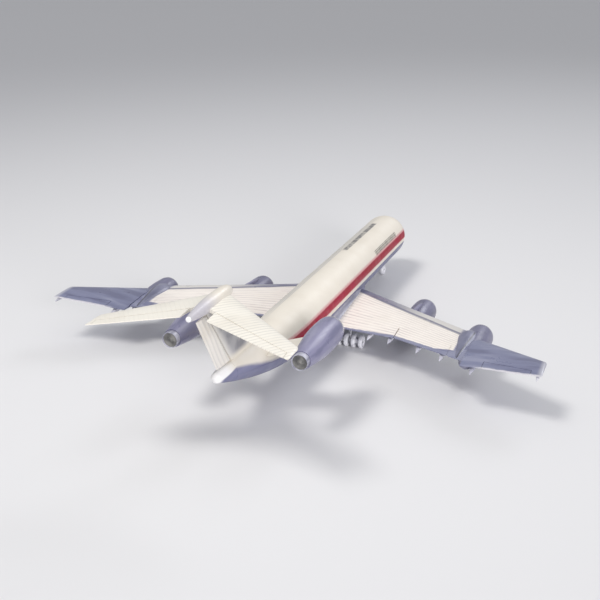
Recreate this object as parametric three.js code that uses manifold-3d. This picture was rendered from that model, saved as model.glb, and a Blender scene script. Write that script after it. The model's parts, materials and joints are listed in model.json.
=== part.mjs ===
// A 1:72 display model of a swept-wing, T-tail jet airliner, in millimetres.
// +Y points to the nose, +X to the right wing, +Z up.
// The origin is on the ground, below the middle of the model.
// Positions along the fuselage are stations: distances aft of the nose.
// Right-hand pieces are modelled once, and the left-hand ones are their mirror images.

import * as THREE from "three";
import { mergeVertices } from "three/addons/utils/BufferGeometryUtils.js";
import Module from "manifold-3d";

const wasm = await Module();
wasm.setup();

// ---------------------------------------------------------------- driving dimensions

const OVERALL_LENGTH = 602;
const NOSE_Y = OVERALL_LENGTH / 2;
const GAP = 0.3; // between pieces that touch
const AXIS_Z = 48; // height of the fuselage axis above the ground

const fuselage = {
  radius: 26.5,
  wall: 2,
  noseLength: 34,
  noseDroop: 5,
  noseCone: 6,
  taperStart: 375,
  shellEnd: 517,
  length: 541,
  tailRadius: 5,
  tailDrop: 4.4,
  taperPower: 1.6,
  seamAngle: 9, // the shells part this many degrees below the fuselage's widest line
  sides: 28,
};

const wing = {
  rootX: 24.6,
  kinkX: 100,
  podX: 181.5,
  tipX: 258.5,
  frontSlope: 0.74,
  frontAtRoot: 191.6,
  outerFront: 317, // the outer panel's leading edge steps back at the engine
  tipFront: 364.5,
  rearAtRoot: 310,
  rearAtKink: 330,
  rearAtPod: 376,
  rearOutboard: 387,
  rearAtTip: 398.5,
  planeZ: 30.4,
  dihedral: 0.0925,
  rootThickness: 0.11,
  podThickness: 0.086,
  tipThickness: 0.09,
  stripWidth: 22,
};

const flap = { chord: 22, innerX: [25.5, 99.3], outerX: [100.9, 163.5] };
// The fairings under the trailing edge. lead and past are how far they reach ahead of it and past it.
const track = {
  innerX: [72, 95.8],
  outerX: [130.5, 158],
  outboardX: 193.5,
  radius: 4.2,
  lead: 18,
  past: 8,
  drop: 3,
};
const aileron = { rootChord: 13, tipChord: 9, x: [203, 249] };
const ballast = { radius: 11, front: 54, rear: 112 };
const spar = { halfLength: 54, width: 18, height: 4, station: 262, z: 32.5 };

const innerEngine = { radius: 14, exit: 7.5, length: 66, x: 100, z: 20, station: 195.5 };
const outerEngine = { radius: 13.8, exit: 7.5, length: 69, x: wing.podX, z: 35.4, station: 283.5 };
const rearEngine = { radius: 14.4, exit: 7.9, length: 79, x: 63.8, z: 76.3, station: 421 };
const fanDepth = 12; // from the intake lip to the fan
const NOZZLE = 6; // how far the nozzle stands out behind the cowl
const ENGINE_SIDES = 16;

const fin = {
  rootZ: 66,
  topZ: 137,
  rootFront: 446,
  topFront: 519,
  rootRear: 536,
  topRear: 582,
  rootThickness: 7,
  topThickness: 4.6,
  rudderZ: [72.6, 131],
  rudderChord: [25, 18],
};
const bullet = { z: 139, radius: 6.5, front: 512, rear: 590 };
const tailplane = {
  rootX: 3,
  tipX: 89.5,
  rootZ: 137.6,
  tipZ: 123.8,
  rootFront: 521,
  tipFront: 577,
  rootRear: 580.5,
  tipRear: OVERALL_LENGTH,
  thickness: 0.085,
  elevatorX: [12, 86],
  elevatorChord: [17, 8.5],
};

const noseGear = { station: 46, wheelRadius: 6.5, wheelWidth: 4, wheelX: 4.4, axleRadius: 1 };
const mainGear = {
  station: 286,
  x: 40.2,
  wheelRadius: 7.4,
  wheelWidth: 4.8,
  spacing: 8.2,
  axleRadius: 1.1,
  legRadius: 2,
  ankleRadius: 1.3, // where the leg passes between the tyres
};
const AXLE_CLEARANCE = 0.15;

// ---------------------------------------------------------------- materials

const material = (color, roughness, metalness) =>
  new THREE.MeshStandardMaterial({ color, roughness, metalness });
const cream = material(0xece6d8, 0.4, 0);
const greyPaint = material(0x8f90a8, 0.45, 0.2);
const darkMetal = material(0x55555c, 0.5, 0.7);
const chrome = material(0xc8c8d0, 0.2, 1);
const rubber = material(0x8c8c92, 0.85, 0);
const darkGlass = material(0x22252c, 0.15, 0);
const whiteLens = material(0xf6f6fa, 0.15, 0);
const steel = material(0x9a9ca2, 0.35, 0.9);

// ---------------------------------------------------------------- solids

const stationY = (station) => NOSE_Y - station;
const lerp = THREE.MathUtils.lerp;
const radians = THREE.MathUtils.degToRad;

function toSolid(geometry) {
  const bare = new THREE.BufferGeometry();
  bare.setAttribute("position", geometry.getAttribute("position").clone());
  if (geometry.index) bare.setIndex(geometry.index.clone());
  const merged = mergeVertices(bare, 1e-4);
  const mesh = new wasm.Mesh({
    numProp: 3,
    vertProperties: merged.attributes.position.array,
    triVerts: new Uint32Array(merged.index.array),
  });
  return new wasm.Manifold(mesh);
}

function toGeometry(solid) {
  const mesh = solid.getMesh();
  const geometry = new THREE.BufferGeometry();
  geometry.setAttribute("position", new THREE.BufferAttribute(mesh.vertProperties, 3));
  geometry.setIndex(new THREE.BufferAttribute(mesh.triVerts, 1));
  geometry.computeVertexNormals();
  return geometry;
}

// A closed solid through loops of points, each loop running the same way round.
function loft(loops) {
  const count = loops[0].length;
  const points = loops.flat();
  const faces = [];
  for (let k = 0; k < loops.length - 1; k += 1) {
    for (let i = 0; i < count; i += 1) {
      const a = k * count + i;
      const b = k * count + ((i + 1) % count);
      faces.push([a, b, b + count], [a, b + count, a + count]);
    }
  }
  const last = (loops.length - 1) * count;
  for (const [i, j, k] of capOf(loops[0])) faces.push([k, j, i]);
  for (const [i, j, k] of capOf(loops.at(-1))) faces.push([last + i, last + j, last + k]);
  const geometry = new THREE.BufferGeometry();
  geometry.setAttribute(
    "position",
    new THREE.Float32BufferAttribute(points.flatMap((p) => [p.x, p.y, p.z]), 3),
  );
  const volume = faces.reduce((sum, [i, j, k]) => sum + wedge(points[i], points[j], points[k]), 0);
  geometry.setIndex(faces.flatMap(([i, j, k]) => (volume > 0 ? [i, j, k] : [i, k, j])));
  return geometry;
}

// Six times the signed volume between a triangle and the origin.
const wedge = (a, b, c) => a.dot(b.clone().cross(c));

// The triangles that fill a flat loop, wound the way the loop runs.
function capOf(loop) {
  const normal = new THREE.Vector3();
  loop.forEach((p, i) => normal.add(p.clone().cross(loop[(i + 1) % loop.length])));
  normal.normalize();
  const across = loop[1].clone().sub(loop[0]).normalize();
  const up = normal.clone().cross(across);
  const flat = loop.map((p) => new THREE.Vector2(p.dot(across), p.dot(up)));
  return THREE.ShapeUtils.triangulateShape(flat, []);
}

const solidLoft = (loops) => toSolid(loft(loops));
const largest = (solid) => solid.decompose().toSorted((a, b) => b.volume() - a.volume())[0];

// A prism over an outline of [x, station] pairs in plan, tall enough to pass right through the model.
function planPrism(outline, low = -20, high = 180) {
  const loopAt = (z) => outline.map(([x, s]) => new THREE.Vector3(x, stationY(s), z));
  return solidLoft([loopAt(low), loopAt(high)]);
}

// A prism over an outline of [station, z] pairs in side view, between two values of x.
function sidePrism(outline, x0, x1) {
  const loopAt = (x) => outline.map(([s, z]) => new THREE.Vector3(x, stationY(s), z));
  return solidLoft([loopAt(x0), loopAt(x1)]);
}

function block(x0, x1, s0, s1, z0, z1) {
  const box = new THREE.BoxGeometry(x1 - x0, s1 - s0, z1 - z0);
  box.translate((x0 + x1) / 2, stationY((s0 + s1) / 2), (z0 + z1) / 2);
  return toSolid(box);
}

// A solid of revolution along the fuselage, from [radius, station] pairs, nose end first.
function turned(profile, x, z, sides = ENGINE_SIDES) {
  const points = profile.map(([r, s]) => new THREE.Vector2(r, stationY(s)));
  const lathe = new THREE.LatheGeometry(points.reverse(), sides);
  lathe.translate(x, 0, z);
  return toSolid(lathe);
}

// A solid of revolution about a line parallel to X or Z, from [radius, distance] pairs.
function turnedAcross(profile, centre, axis, sides) {
  const lathe = new THREE.LatheGeometry(profile.map(([r, d]) => new THREE.Vector2(r, d)), sides);
  if (axis === "x") lathe.rotateZ(-Math.PI / 2);
  if (axis === "z") lathe.rotateX(Math.PI / 2);
  lathe.translate(centre.x, centre.y, centre.z);
  return toSolid(lathe);
}

const rod = (radius, length, centre, axis, sides = 12) =>
  turnedAcross(
    [[0, -length / 2], [radius, -length / 2], [radius, length / 2], [0, length / 2]],
    centre,
    axis,
    sides,
  );

// ---------------------------------------------------------------- fuselage

// Radius and axis height of the round fuselage at a station.
function bodyAt(station) {
  const f = fuselage;
  if (station < f.noseLength) {
    const ahead = 1 - station / f.noseLength;
    return {
      radius: f.radius * Math.sqrt(1 - ahead * ahead),
      z: AXIS_Z - f.noseDroop * ahead * ahead,
    };
  }
  if (station < f.taperStart) return { radius: f.radius, z: AXIS_Z };
  const along = (station - f.taperStart) / (f.length - f.taperStart);
  const radius = f.radius - (f.radius - f.tailRadius) * along ** f.taperPower;
  return { radius, z: AXIS_Z + f.radius - radius - f.tailDrop * along };
}

function bodyPoint(station, degrees, inset = 0) {
  const { radius, z } = bodyAt(station);
  const r = radius - inset;
  const a = radians(degrees);
  return new THREE.Vector3(r * Math.cos(a), stationY(station), z + r * Math.sin(a));
}

const shellStations = () => {
  const f = fuselage;
  const nose = [f.noseCone + GAP, 8.5, 12, 17, 24, f.noseLength];
  const tail = [0, 0.15, 0.32, 0.5, 0.66, 0.8].map((t) => lerp(f.taperStart, f.length, t));
  return [...nose, ...tail, f.shellEnd];
};

// A half shell over an arc of the fuselage, from one seam to the other.
function bodyShell(from, to, segments) {
  const f = fuselage;
  const angles = Array.from({ length: segments + 1 }, (_, i) => lerp(from, to, i / segments));
  const section = (s) => [
    ...angles.map((a) => bodyPoint(s, a)),
    ...angles.toReversed().map((a) => bodyPoint(s, a, f.wall)),
  ];
  return solidLoft(shellStations().map(section));
}

// The whole fuselage as one solid, grown by a clearance, for trimming what meets it.
function bodySolid(clearance) {
  const ring = (s) =>
    Array.from({ length: fuselage.sides }, (_, i) =>
      bodyPoint(s, (360 * i) / fuselage.sides, -clearance),
    );
  const nose = [1, 3, fuselage.noseCone];
  return solidLoft([...nose, ...shellStations(), fuselage.length].map(ring));
}

function bodyEnd(stations) {
  const ring = (s) =>
    Array.from({ length: fuselage.sides }, (_, i) => bodyPoint(s, (360 * i) / fuselage.sides));
  return solidLoft(stations.map(ring));
}

const seamGapDegrees = 0.4;
const bodyCutter = bodySolid(GAP);
const sparBlock = (clearance) =>
  block(
    -spar.halfLength - clearance,
    spar.halfLength + clearance,
    spar.station - spar.width / 2 - clearance,
    spar.station + spar.width / 2 + clearance,
    spar.z - spar.height / 2 - clearance,
    spar.z + spar.height / 2 + clearance,
  );

// The windscreen is a band that leans aft over the nose.
const glazing = { low: AXIS_Z + 9.5, high: 76, front: 7.5, width: 5, lean: 6.5 };

function windscreenBand(grow) {
  const { low, high, front, width, lean } = glazing;
  const outline = [
    [front - grow, low - grow],
    [front + width + grow, low - grow],
    [front + width + lean + grow, high],
    [front + lean - grow, high],
  ];
  return sidePrism(outline, -fuselage.radius, fuselage.radius);
}

const seam = fuselage.seamAngle;
const upperHalf = bodyShell(-seam + seamGapDegrees, 180 + seam - seamGapDegrees, 16);
const lowerHalf = bodyShell(180 + seam + seamGapDegrees, 360 - seam - seamGapDegrees, 12);

const upperShell = upperHalf.subtract(windscreenBand(GAP));
const windscreen = upperHalf.intersect(windscreenBand(0));

function lowerShell() {
  const centre = new THREE.Vector3(0, stationY(noseGear.station), AXIS_Z - 25);
  const legHole = rod(2 + GAP, 30, centre, "z");
  return lowerHalf.subtract(sparBlock(GAP)).subtract(legHole);
}

const noseCone = bodyEnd([0.1, 0.6, 1.6, 3.4, fuselage.noseCone]);

function tailCone() {
  const { z } = bodyAt(fuselage.length);
  const rings = [fuselage.shellEnd + GAP, 535, fuselage.length].map((s) =>
    Array.from({ length: fuselage.sides }, (_, i) => bodyPoint(s, (360 * i) / fuselage.sides)),
  );
  const cap = [[0.85, 2.4], [0.45, 4]].map(([share, past]) =>
    Array.from({ length: fuselage.sides }, (_, i) => {
      const a = radians((360 * i) / fuselage.sides);
      const r = fuselage.tailRadius * share;
      const y = stationY(fuselage.length + past);
      return new THREE.Vector3(r * Math.cos(a), y, z + r * Math.sin(a));
    }),
  );
  return solidLoft([...rings, ...cap]);
}

// The keel fairing closes the space between the wing roots, below the fuselage.
function bellyFairing() {
  const section = ([station, halfWidth, bottom]) => {
    const corner = Math.min(7, halfWidth / 2);
    const right = [
      [halfWidth, 39],
      [halfWidth, bottom + corner],
      [halfWidth - corner * 0.3, bottom + corner * 0.3],
      [halfWidth - corner, bottom],
    ];
    const left = right.toReversed().map(([x, z]) => [-x, z]);
    return [...right, ...left].map(([x, z]) => new THREE.Vector3(x, stationY(station), z));
  };
  const widest = wing.rootX - GAP;
  const sections = [
    [156, 11, 21.2],
    [168, 17.5, 20],
    [182, 22.5, 19],
    [wing.frontAtRoot, widest, 18.6],
    [300, widest, 18.6],
    [324, 19, 19.6],
    [336, 12, 20.8],
  ];
  return solidLoft(sections.map(section)).subtract(bodyCutter).subtract(sparBlock(GAP));
}

// A steel bar lies on the floor of the nose, and keeps the model on its nose wheels.
function noseBallast() {
  const { radius, front, rear } = ballast;
  const floor = AXIS_Z - fuselage.radius + fuselage.wall;
  return turned(
    [[0, front], [radius, front], [radius, rear], [0, rear]],
    0,
    floor + radius + 2 * GAP,
  );
}

// ---------------------------------------------------------------- aerofoils

const chordShares = [0, 0.02, 0.07, 0.16, 0.3, 0.5, 0.75, 1];
const TRAILING_HALF = 0.35;

// Half the thickness of the symmetrical section, for a chord of the given length.
function halfThickness(u, chord, ratio) {
  const naca =
    0.2969 * Math.sqrt(u) - 0.126 * u - 0.3516 * u ** 2 + 0.2843 * u ** 3 - 0.1015 * u ** 4;
  return 5 * ratio * chord * naca + TRAILING_HALF * u;
}

// A closed loop round a section; place turns (station, half thickness) into a point.
function aerofoil(front, rear, ratio, place) {
  const chord = rear - front;
  const at = (u, side) => place(front + u * chord, side * halfThickness(u, chord, ratio));
  const top = chordShares.toReversed().map((u) => at(u, 1));
  const bottom = chordShares.slice(1).map((u) => at(u, -1));
  return [...top, ...bottom];
}

const wingZ = (x) => wing.planeZ + wing.dihedral * (x - wing.rootX);
const wingFront = (x) => wing.frontAtRoot + wing.frontSlope * (x - wing.rootX);

function wingSection(x, front, rear, ratio, grow = 0) {
  const z = wingZ(x);
  const place = (s, h) => new THREE.Vector3(x, stationY(s), z + h + Math.sign(h) * grow);
  return aerofoil(front - grow, rear + grow, ratio, place);
}

function innerWingRear(x) {
  if (x < wing.kinkX) {
    return THREE.MathUtils.mapLinear(x, wing.rootX, wing.kinkX, wing.rearAtRoot, wing.rearAtKink);
  }
  return THREE.MathUtils.mapLinear(x, wing.kinkX, wing.podX, wing.rearAtKink, wing.rearAtPod);
}

const outerWingRear = (x) =>
  THREE.MathUtils.mapLinear(x, wing.podX, wing.tipX, wing.rearOutboard, wing.rearAtTip);

const thicknessAt = (x) =>
  x < wing.podX
    ? THREE.MathUtils.mapLinear(x, wing.rootX, wing.podX, wing.rootThickness, wing.podThickness)
    : THREE.MathUtils.mapLinear(x, wing.podX, wing.tipX, wing.podThickness, wing.tipThickness);

const innerWingBody = (grow = 0) =>
  solidLoft(
    [wing.rootX, wing.kinkX, wing.podX - GAP / 2].map((x) =>
      wingSection(x, wingFront(x), innerWingRear(x), thicknessAt(x), grow),
    ),
  );

const outerWingFront = (x) =>
  THREE.MathUtils.mapLinear(x, wing.podX, wing.tipX, wing.outerFront, wing.tipFront);

const outerWingBody = () =>
  solidLoft(
    [wing.podX + GAP / 2, wing.tipX].map((x) =>
      wingSection(x, outerWingFront(x), outerWingRear(x), thicknessAt(x)),
    ),
  );

// Everything ahead of a line that runs parallel to the wing's leading edge.
function frontRegion(depth) {
  const [x0, x1] = [wing.rootX - 2, wing.podX + 2];
  return planPrism([
    [x0, wingFront(x0) - 20],
    [x1, wingFront(x1) - 20],
    [x1, wingFront(x1) + depth],
    [x0, wingFront(x0) + depth],
  ]);
}

// Everything behind a hinge line, between two values of x.
function rearRegion([x0, x1], hinge0, hinge1) {
  return planPrism([
    [x0, hinge0],
    [x1, hinge1],
    [x1, hinge1 + 60],
    [x0, hinge0 + 60],
  ]);
}

const flapHinge = (x) => innerWingRear(x) - flap.chord;
const aileronHinge = (x) =>
  outerWingRear(x) -
  THREE.MathUtils.mapLinear(x, ...aileron.x, aileron.rootChord, aileron.tipChord);

// ---------------------------------------------------------------- engines

// The outside of a cowl, lip first: full waist and tapering tail.
function cowlOutside({ radius: r, exit, length, station }, grow = 0) {
  const at = (share) => station + share * length;
  return [
    [0.9 * r + grow, at(0.012) - grow],
    [0.97 * r + grow, at(0.08)],
    [r + grow, at(0.22)],
    [r + grow, at(0.42)],
    [0.92 * r + grow, at(0.62)],
    [0.76 * r + grow, at(0.83)],
    [exit + 0.9 + grow, at(1) + (grow > 0 ? NOZZLE + grow : 0)],
  ];
}

// The cowl is a ring, with a duct right through it.
function cowl(engine) {
  const { radius: r, exit, length, station, x, z } = engine;
  const at = (share) => station + share * length;
  const lip = [0.8 * r, at(0)];
  const duct = [
    [exit, at(1)],
    [exit, at(0.7)],
    [0.81 * r, at(0.5)],
    [0.81 * r, at(0.12)],
    [0.75 * r, at(0.03)],
  ];
  return turned([lip, ...cowlOutside(engine), ...duct, lip], x, z);
}

// The cowl and the nozzle behind it with no duct, grown by a clearance, for trimming what meets them.
function cowlCutter(engine) {
  const { length, station, x, z } = engine;
  const end = station + length + NOZZLE + GAP;
  return turned([[0, station - GAP], ...cowlOutside(engine, GAP), [0, end]], x, z);
}

const SHAFT_RADIUS = 1.5;
const FAN_BLADES = 7;

// The fan turns on a stub shaft that runs in the core.
function fan(engine) {
  const { radius, station, x, z } = engine;
  const tip = 0.81 * radius - 0.7;
  const hub = 0.3 * radius;
  const s = station + fanDepth;
  const spinner = [[0, s - 7], [hub * 0.6, s - 4.5], [hub, s], [hub, s + 4]];
  const shaft = [[SHAFT_RADIUS, s + 4], [SHAFT_RADIUS, s + 9], [0, s + 9]];
  const rotor = turned([...spinner, ...shaft], x, z, 12);
  const blades = Array.from({ length: FAN_BLADES }, (_, i) => {
    const blade = new THREE.BoxGeometry(tip - hub * 0.7, 3.8, 0.7);
    blade.rotateX(radians(38));
    blade.translate((tip + hub * 0.7) / 2, 0, 0);
    blade.rotateY((2 * Math.PI * i) / FAN_BLADES);
    blade.translate(x, stationY(s + 2), z);
    return toSolid(blade);
  });
  return blades.reduce((whole, blade) => whole.add(blade), rotor);
}

// The core fills the duct behind the fan, and ends in a short nozzle with a blank floor and a plug.
function core(engine) {
  const { radius, exit, length, station, x, z } = engine;
  const front = station + fanDepth + 5.5;
  const end = station + length;
  const duct = 0.81 * radius - GAP;
  const profile = [
    [0, front + 6],
    [SHAFT_RADIUS + AXLE_CLEARANCE, front + 6],
    [SHAFT_RADIUS + AXLE_CLEARANCE, front],
    [duct, front],
    [duct, station + 0.5 * length - 1],
    [exit - GAP, station + 0.7 * length - 1],
    [exit - GAP, end + NOZZLE],
    [exit - 1, end + NOZZLE],
    [exit - 1, end + 1],
    [2.6, end + 1],
    [0, end + 4.5],
  ];
  return turned(profile, x, z);
}

function innerPylon() {
  const { x, z, station } = innerEngine;
  const half = 1.7;
  const plate = sidePrism(
    [
      [station + 18, z],
      [station + 18, z + 14.6],
      [station + 32, z + 17.5],
      [station + 54, z + 20],
      [station + 80, z + 20],
      [station + 80, z + 11],
      [station + 62, z],
    ],
    x - half,
    x + half,
  );
  return largest(plate.subtract(cowlCutter(innerEngine)).subtract(innerWingBody(GAP)));
}

function rearPylon() {
  const { x, z } = rearEngine;
  const base = { x: 0, z: 53.5 };
  const tilt = Math.atan2(z - base.z, x - base.x);
  const upper = [[434, 0], [439, 2], [452, 2.5], [468, 0.7], [470, 0]];
  const lower = upper.slice(1, -1).map(([s, h]) => [s, -h]);
  const outline = [...upper, ...lower.toReversed()];
  const loopAt = (reach) =>
    outline.map(
      ([s, h]) =>
        new THREE.Vector3(
          base.x + reach * Math.cos(tilt) - h * Math.sin(tilt),
          stationY(s),
          base.z + reach * Math.sin(tilt) + h * Math.cos(tilt),
        ),
    );
  const slab = solidLoft([loopAt(8), loopAt(60)]);
  return largest(slab.subtract(bodyCutter).subtract(cowlCutter(rearEngine)));
}

// ---------------------------------------------------------------- wing pieces

// A teardrop on top of the wing, inboard of the outer engine, in [station, half width, height] rows.
function overwingFairing() {
  const x = wing.podX - 6.5;
  const base = wingZ(x) - 0.5;
  const rows = [[302, 3, 3], [308, 8, 5.6], [316, 10.5, 6.7], [330, 9.5, 5.8], [348, 6.2, 4], [366, 3, 2]];
  const corners = 8;
  const loopAt = ([station, halfWidth, height]) =>
    Array.from({ length: corners + 1 }, (_, i) => {
      const a = (Math.PI * i) / corners;
      const up = base + height * Math.sin(a);
      return new THREE.Vector3(x + halfWidth * Math.cos(a), stationY(station), up);
    });
  const joint = block(x - 20, wing.podX - GAP / 2, 290, 380, base - 1, base + 20);
  return solidLoft(rows.map(loopAt)).intersect(joint);
}

const innerBody = innerWingBody().add(overwingFairing());
const outerPodCutter = cowlCutter(outerEngine);
const flapNotch = () => {
  const inboard = rearRegion(
    [wing.rootX - 2, wing.kinkX],
    flapHinge(wing.rootX - 2) - GAP,
    flapHinge(wing.kinkX) - GAP,
  );
  const x1 = flap.outerX[1] + 1.9;
  const outboard = rearRegion([wing.kinkX, x1], flapHinge(wing.kinkX) - GAP, flapHinge(x1) - GAP);
  return inboard.add(outboard);
};

const leadingEdge = largest(
  innerBody.intersect(frontRegion(wing.stripWidth)).subtract(outerPodCutter),
);

const innerWing = largest(
  innerBody
    .subtract(frontRegion(wing.stripWidth + GAP))
    .subtract(flapNotch())
    .subtract(outerPodCutter)
    .subtract(sparBlock(GAP)),
);

// A tapering fairing below a trailing edge: it runs aft and down to a point.
function trackFairing(x, rear, size = 1) {
  const cone = new THREE.ConeGeometry(track.radius, track.lead + track.past, 8);
  cone.scale(0.8, 1, 1);
  cone.rotateX(Math.PI);
  cone.rotateX(radians(7));
  cone.translate(0, (track.lead - track.past) / 2, -track.drop);
  cone.scale(size, size, size);
  cone.translate(x, stationY(rear), wingZ(x));
  return toSolid(cone);
}

function flapPiece(span, trackX) {
  const plate = innerBody.intersect(rearRegion(span, ...span.map(flapHinge)));
  return trackX.reduce((whole, x) => whole.add(trackFairing(x, innerWingRear(x))), plate);
}

const BEVEL = 0.6; // how far the bevel runs aft for each millimetre of height

// A control surface whose front edge is bevelled on both faces, so that it can swing both ways.
// place turns a distance along the hinge, a station and a height into a point.
function bevelled(plate, hingeAt, [start, end], place) {
  const reach = 12;
  const overrun = 4;
  const wedgeOn = (side) => {
    const loopAt = (t) => {
      const s = hingeAt(t);
      const corners = [[s - 2, 0], [s, 0], [s + BEVEL * reach, reach], [s - 2, reach]];
      return corners.map(([station, height]) => place(t, station, side * height));
    };
    return solidLoft([loopAt(start - overrun), loopAt(end + overrun)]);
  };
  return plate.subtract(wedgeOn(1)).subtract(wedgeOn(-1));
}

const aileronPlate = outerWingBody().intersect(
  rearRegion(aileron.x, aileronHinge(aileron.x[0]), aileronHinge(aileron.x[1])),
);
const aileronSolid = bevelled(
  aileronPlate,
  aileronHinge,
  aileron.x,
  (x, s, h) => new THREE.Vector3(x, stationY(s), wingZ(x) + h),
);

function outerWing() {
  const [x0, x1] = aileron.x;
  const margin = 1.2;
  const notch = rearRegion(
    [x0 - margin, x1 + margin],
    aileronHinge(x0 - margin) - GAP,
    aileronHinge(x1 + margin) - GAP,
  );
  const fairing = trackFairing(track.outboardX, outerWingRear(track.outboardX));
  const spikeSize = 0.6;
  const spike = trackFairing(wing.tipX - 0.8 * spikeSize * track.radius, wing.rearAtTip, spikeSize);
  return largest(
    outerWingBody().subtract(notch).add(fairing).add(spike).subtract(outerPodCutter),
  );
}

// ---------------------------------------------------------------- tail

const bulletProfile = (grow) => [
  [0, bullet.front - grow],
  [bullet.radius * 0.5 + grow, bullet.front + 1.5],
  [bullet.radius * 0.85 + grow, bullet.front + 7],
  [bullet.radius + grow, bullet.front + 18],
  [bullet.radius + grow, bullet.front + 42],
  [bullet.radius * 0.72 + grow, bullet.front + 64],
  [bullet.radius * 0.42 + grow, bullet.rear],
  [0, bullet.rear + grow],
];
const bulletBody = turned(bulletProfile(0), 0, bullet.z, 16);
const bulletCutter = turned(bulletProfile(GAP), 0, bullet.z, 16);

const tailLight = turned(
  [[0, GAP], [2.4, GAP], [2.4, 1.6], [1.5, 3], [0, 3.6]].map(([r, past]) => [r, bullet.rear + past]),
  0,
  bullet.z,
  12,
);

const finShare = (z) => (z - fin.rootZ) / (fin.topZ - fin.rootZ);
const finRear = (z) => lerp(fin.rootRear, fin.topRear, finShare(z));
const finFront = (z) => lerp(fin.rootFront, fin.topFront, finShare(z));

function finSection(z) {
  const chord = finRear(z) - finFront(z);
  const ratio = lerp(fin.rootThickness, fin.topThickness, finShare(z)) / chord;
  const place = (s, h) => new THREE.Vector3(h, stationY(s), z);
  return aerofoil(finFront(z), finRear(z), ratio, place);
}

const finBody = solidLoft([fin.rootZ, fin.topZ].map(finSection));

function rudderHinge(z) {
  const [low, high] = fin.rudderZ;
  return finRear(z) - THREE.MathUtils.mapLinear(z, low, high, ...fin.rudderChord);
}

// Everything behind the rudder's hinge line, between two heights.
function behindRudderHinge([low, high], ahead) {
  return sidePrism(
    [
      [rudderHinge(low) - ahead, low],
      [rudderHinge(high) - ahead, high],
      [rudderHinge(high) + 60, high],
      [rudderHinge(low) + 60, low],
    ],
    -30,
    30,
  );
}

const rudder = bevelled(
  finBody.intersect(behindRudderHinge(fin.rudderZ, 0)),
  rudderHinge,
  fin.rudderZ,
  (z, s, h) => new THREE.Vector3(h, stationY(s), z),
);

function finSolid() {
  const opened = finBody
    .subtract(behindRudderHinge([fin.rootZ - 5, fin.topZ + 5], GAP))
    .subtract(bodyCutter)
    .subtract(bulletCutter);
  return largest(opened);
}

const tailShare = (x) => (x - tailplane.rootX) / (tailplane.tipX - tailplane.rootX);
const tailZ = (x) => lerp(tailplane.rootZ, tailplane.tipZ, tailShare(x));
const tailFront = (x) => lerp(tailplane.rootFront, tailplane.tipFront, tailShare(x));
const tailRear = (x) => lerp(tailplane.rootRear, tailplane.tipRear, tailShare(x));

const tailplaneBody = solidLoft(
  [tailplane.rootX, tailplane.tipX].map((x) =>
    aerofoil(tailFront(x), tailRear(x), tailplane.thickness, (s, h) =>
      new THREE.Vector3(x, stationY(s), tailZ(x) + h),
    ),
  ),
);

const elevatorHinge = (x) =>
  tailRear(x) - THREE.MathUtils.mapLinear(x, ...tailplane.elevatorX, ...tailplane.elevatorChord);

const elevator = bevelled(
  tailplaneBody.intersect(
    rearRegion(tailplane.elevatorX, ...tailplane.elevatorX.map(elevatorHinge)),
  ),
  elevatorHinge,
  tailplane.elevatorX,
  (x, s, h) => new THREE.Vector3(x, stationY(s), tailZ(x) + h),
);

function tailplaneSolid() {
  const margin = 1;
  const [x0, x1] = tailplane.elevatorX;
  const outboard = x1 + margin;
  const notch = rearRegion([-2, outboard], elevatorHinge(-2) - GAP, elevatorHinge(outboard) - GAP);
  return largest(tailplaneBody.subtract(notch).subtract(bulletCutter));
}

// ---------------------------------------------------------------- landing gear

// One tyre on its rim, bored for the axle, centred on x = 0 and turning about X.
function wheelProfile(radius, width, bore) {
  const w = width / 2;
  return [
    [bore, -w * 0.55],
    [radius * 0.5, -w * 0.55],
    [radius * 0.65, -w],
    [radius * 0.92, -w * 0.85],
    [radius, -w * 0.4],
    [radius, w * 0.4],
    [radius * 0.92, w * 0.85],
    [radius * 0.65, w],
    [radius * 0.5, w * 0.55],
    [bore, w * 0.55],
    [bore, -w * 0.55],
  ];
}

const WHEEL_SIDES = 16;

function noseWheel(side) {
  const g = noseGear;
  const centre = new THREE.Vector3(side * g.wheelX, stationY(g.station), g.wheelRadius);
  const profile = wheelProfile(g.wheelRadius, g.wheelWidth, g.axleRadius + AXLE_CLEARANCE);
  return turnedAcross(profile, centre, "x", WHEEL_SIDES);
}

// Two tyres on one sleeve.
function twinWheel(centreX) {
  const g = mainGear;
  const bore = g.axleRadius + AXLE_CLEARANCE;
  const profile = wheelProfile(g.wheelRadius, g.wheelWidth, bore);
  const place = (x) => new THREE.Vector3(x, stationY(g.station), g.wheelRadius);
  const wheels = [-0.5, 0.5].map((k) =>
    turnedAcross(profile, place(centreX + k * g.spacing), "x", WHEEL_SIDES),
  );
  const h = g.spacing / 2;
  const sleeve = turnedAcross(
    [[bore, -h], [bore + 1.3, -h], [bore + 1.3, h], [bore, h], [bore, -h]],
    place(centreX),
    "x",
    WHEEL_SIDES,
  );
  return wheels[0].add(wheels[1]).add(sleeve);
}

const noseLegTop = AXIS_Z - 17;

function noseStrut() {
  const y = stationY(noseGear.station);
  const outer = rod(2, noseLegTop - 17, new THREE.Vector3(0, y, (noseLegTop + 17) / 2), "z");
  const bore = rod(1.2, 12, new THREE.Vector3(0, y, 20), "z");
  return outer.add(noseDoors()).subtract(bore);
}

// A gear door stands on each side of the strut, held by a bar that runs through it.
function noseDoors() {
  const s = noseGear.station;
  const side = 5.3;
  const outline = [[s - 9, 26], [s + 9, 26], [s + 7, 14.5], [s - 5, 14.5]];
  const doors = sidePrism(outline, side, side + 1).add(sidePrism(outline, -side - 1, -side));
  return doors.subtract(bodyCutter).add(block(-side - 0.5, side + 0.5, s - 1, s + 1, 18, 20));
}

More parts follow.
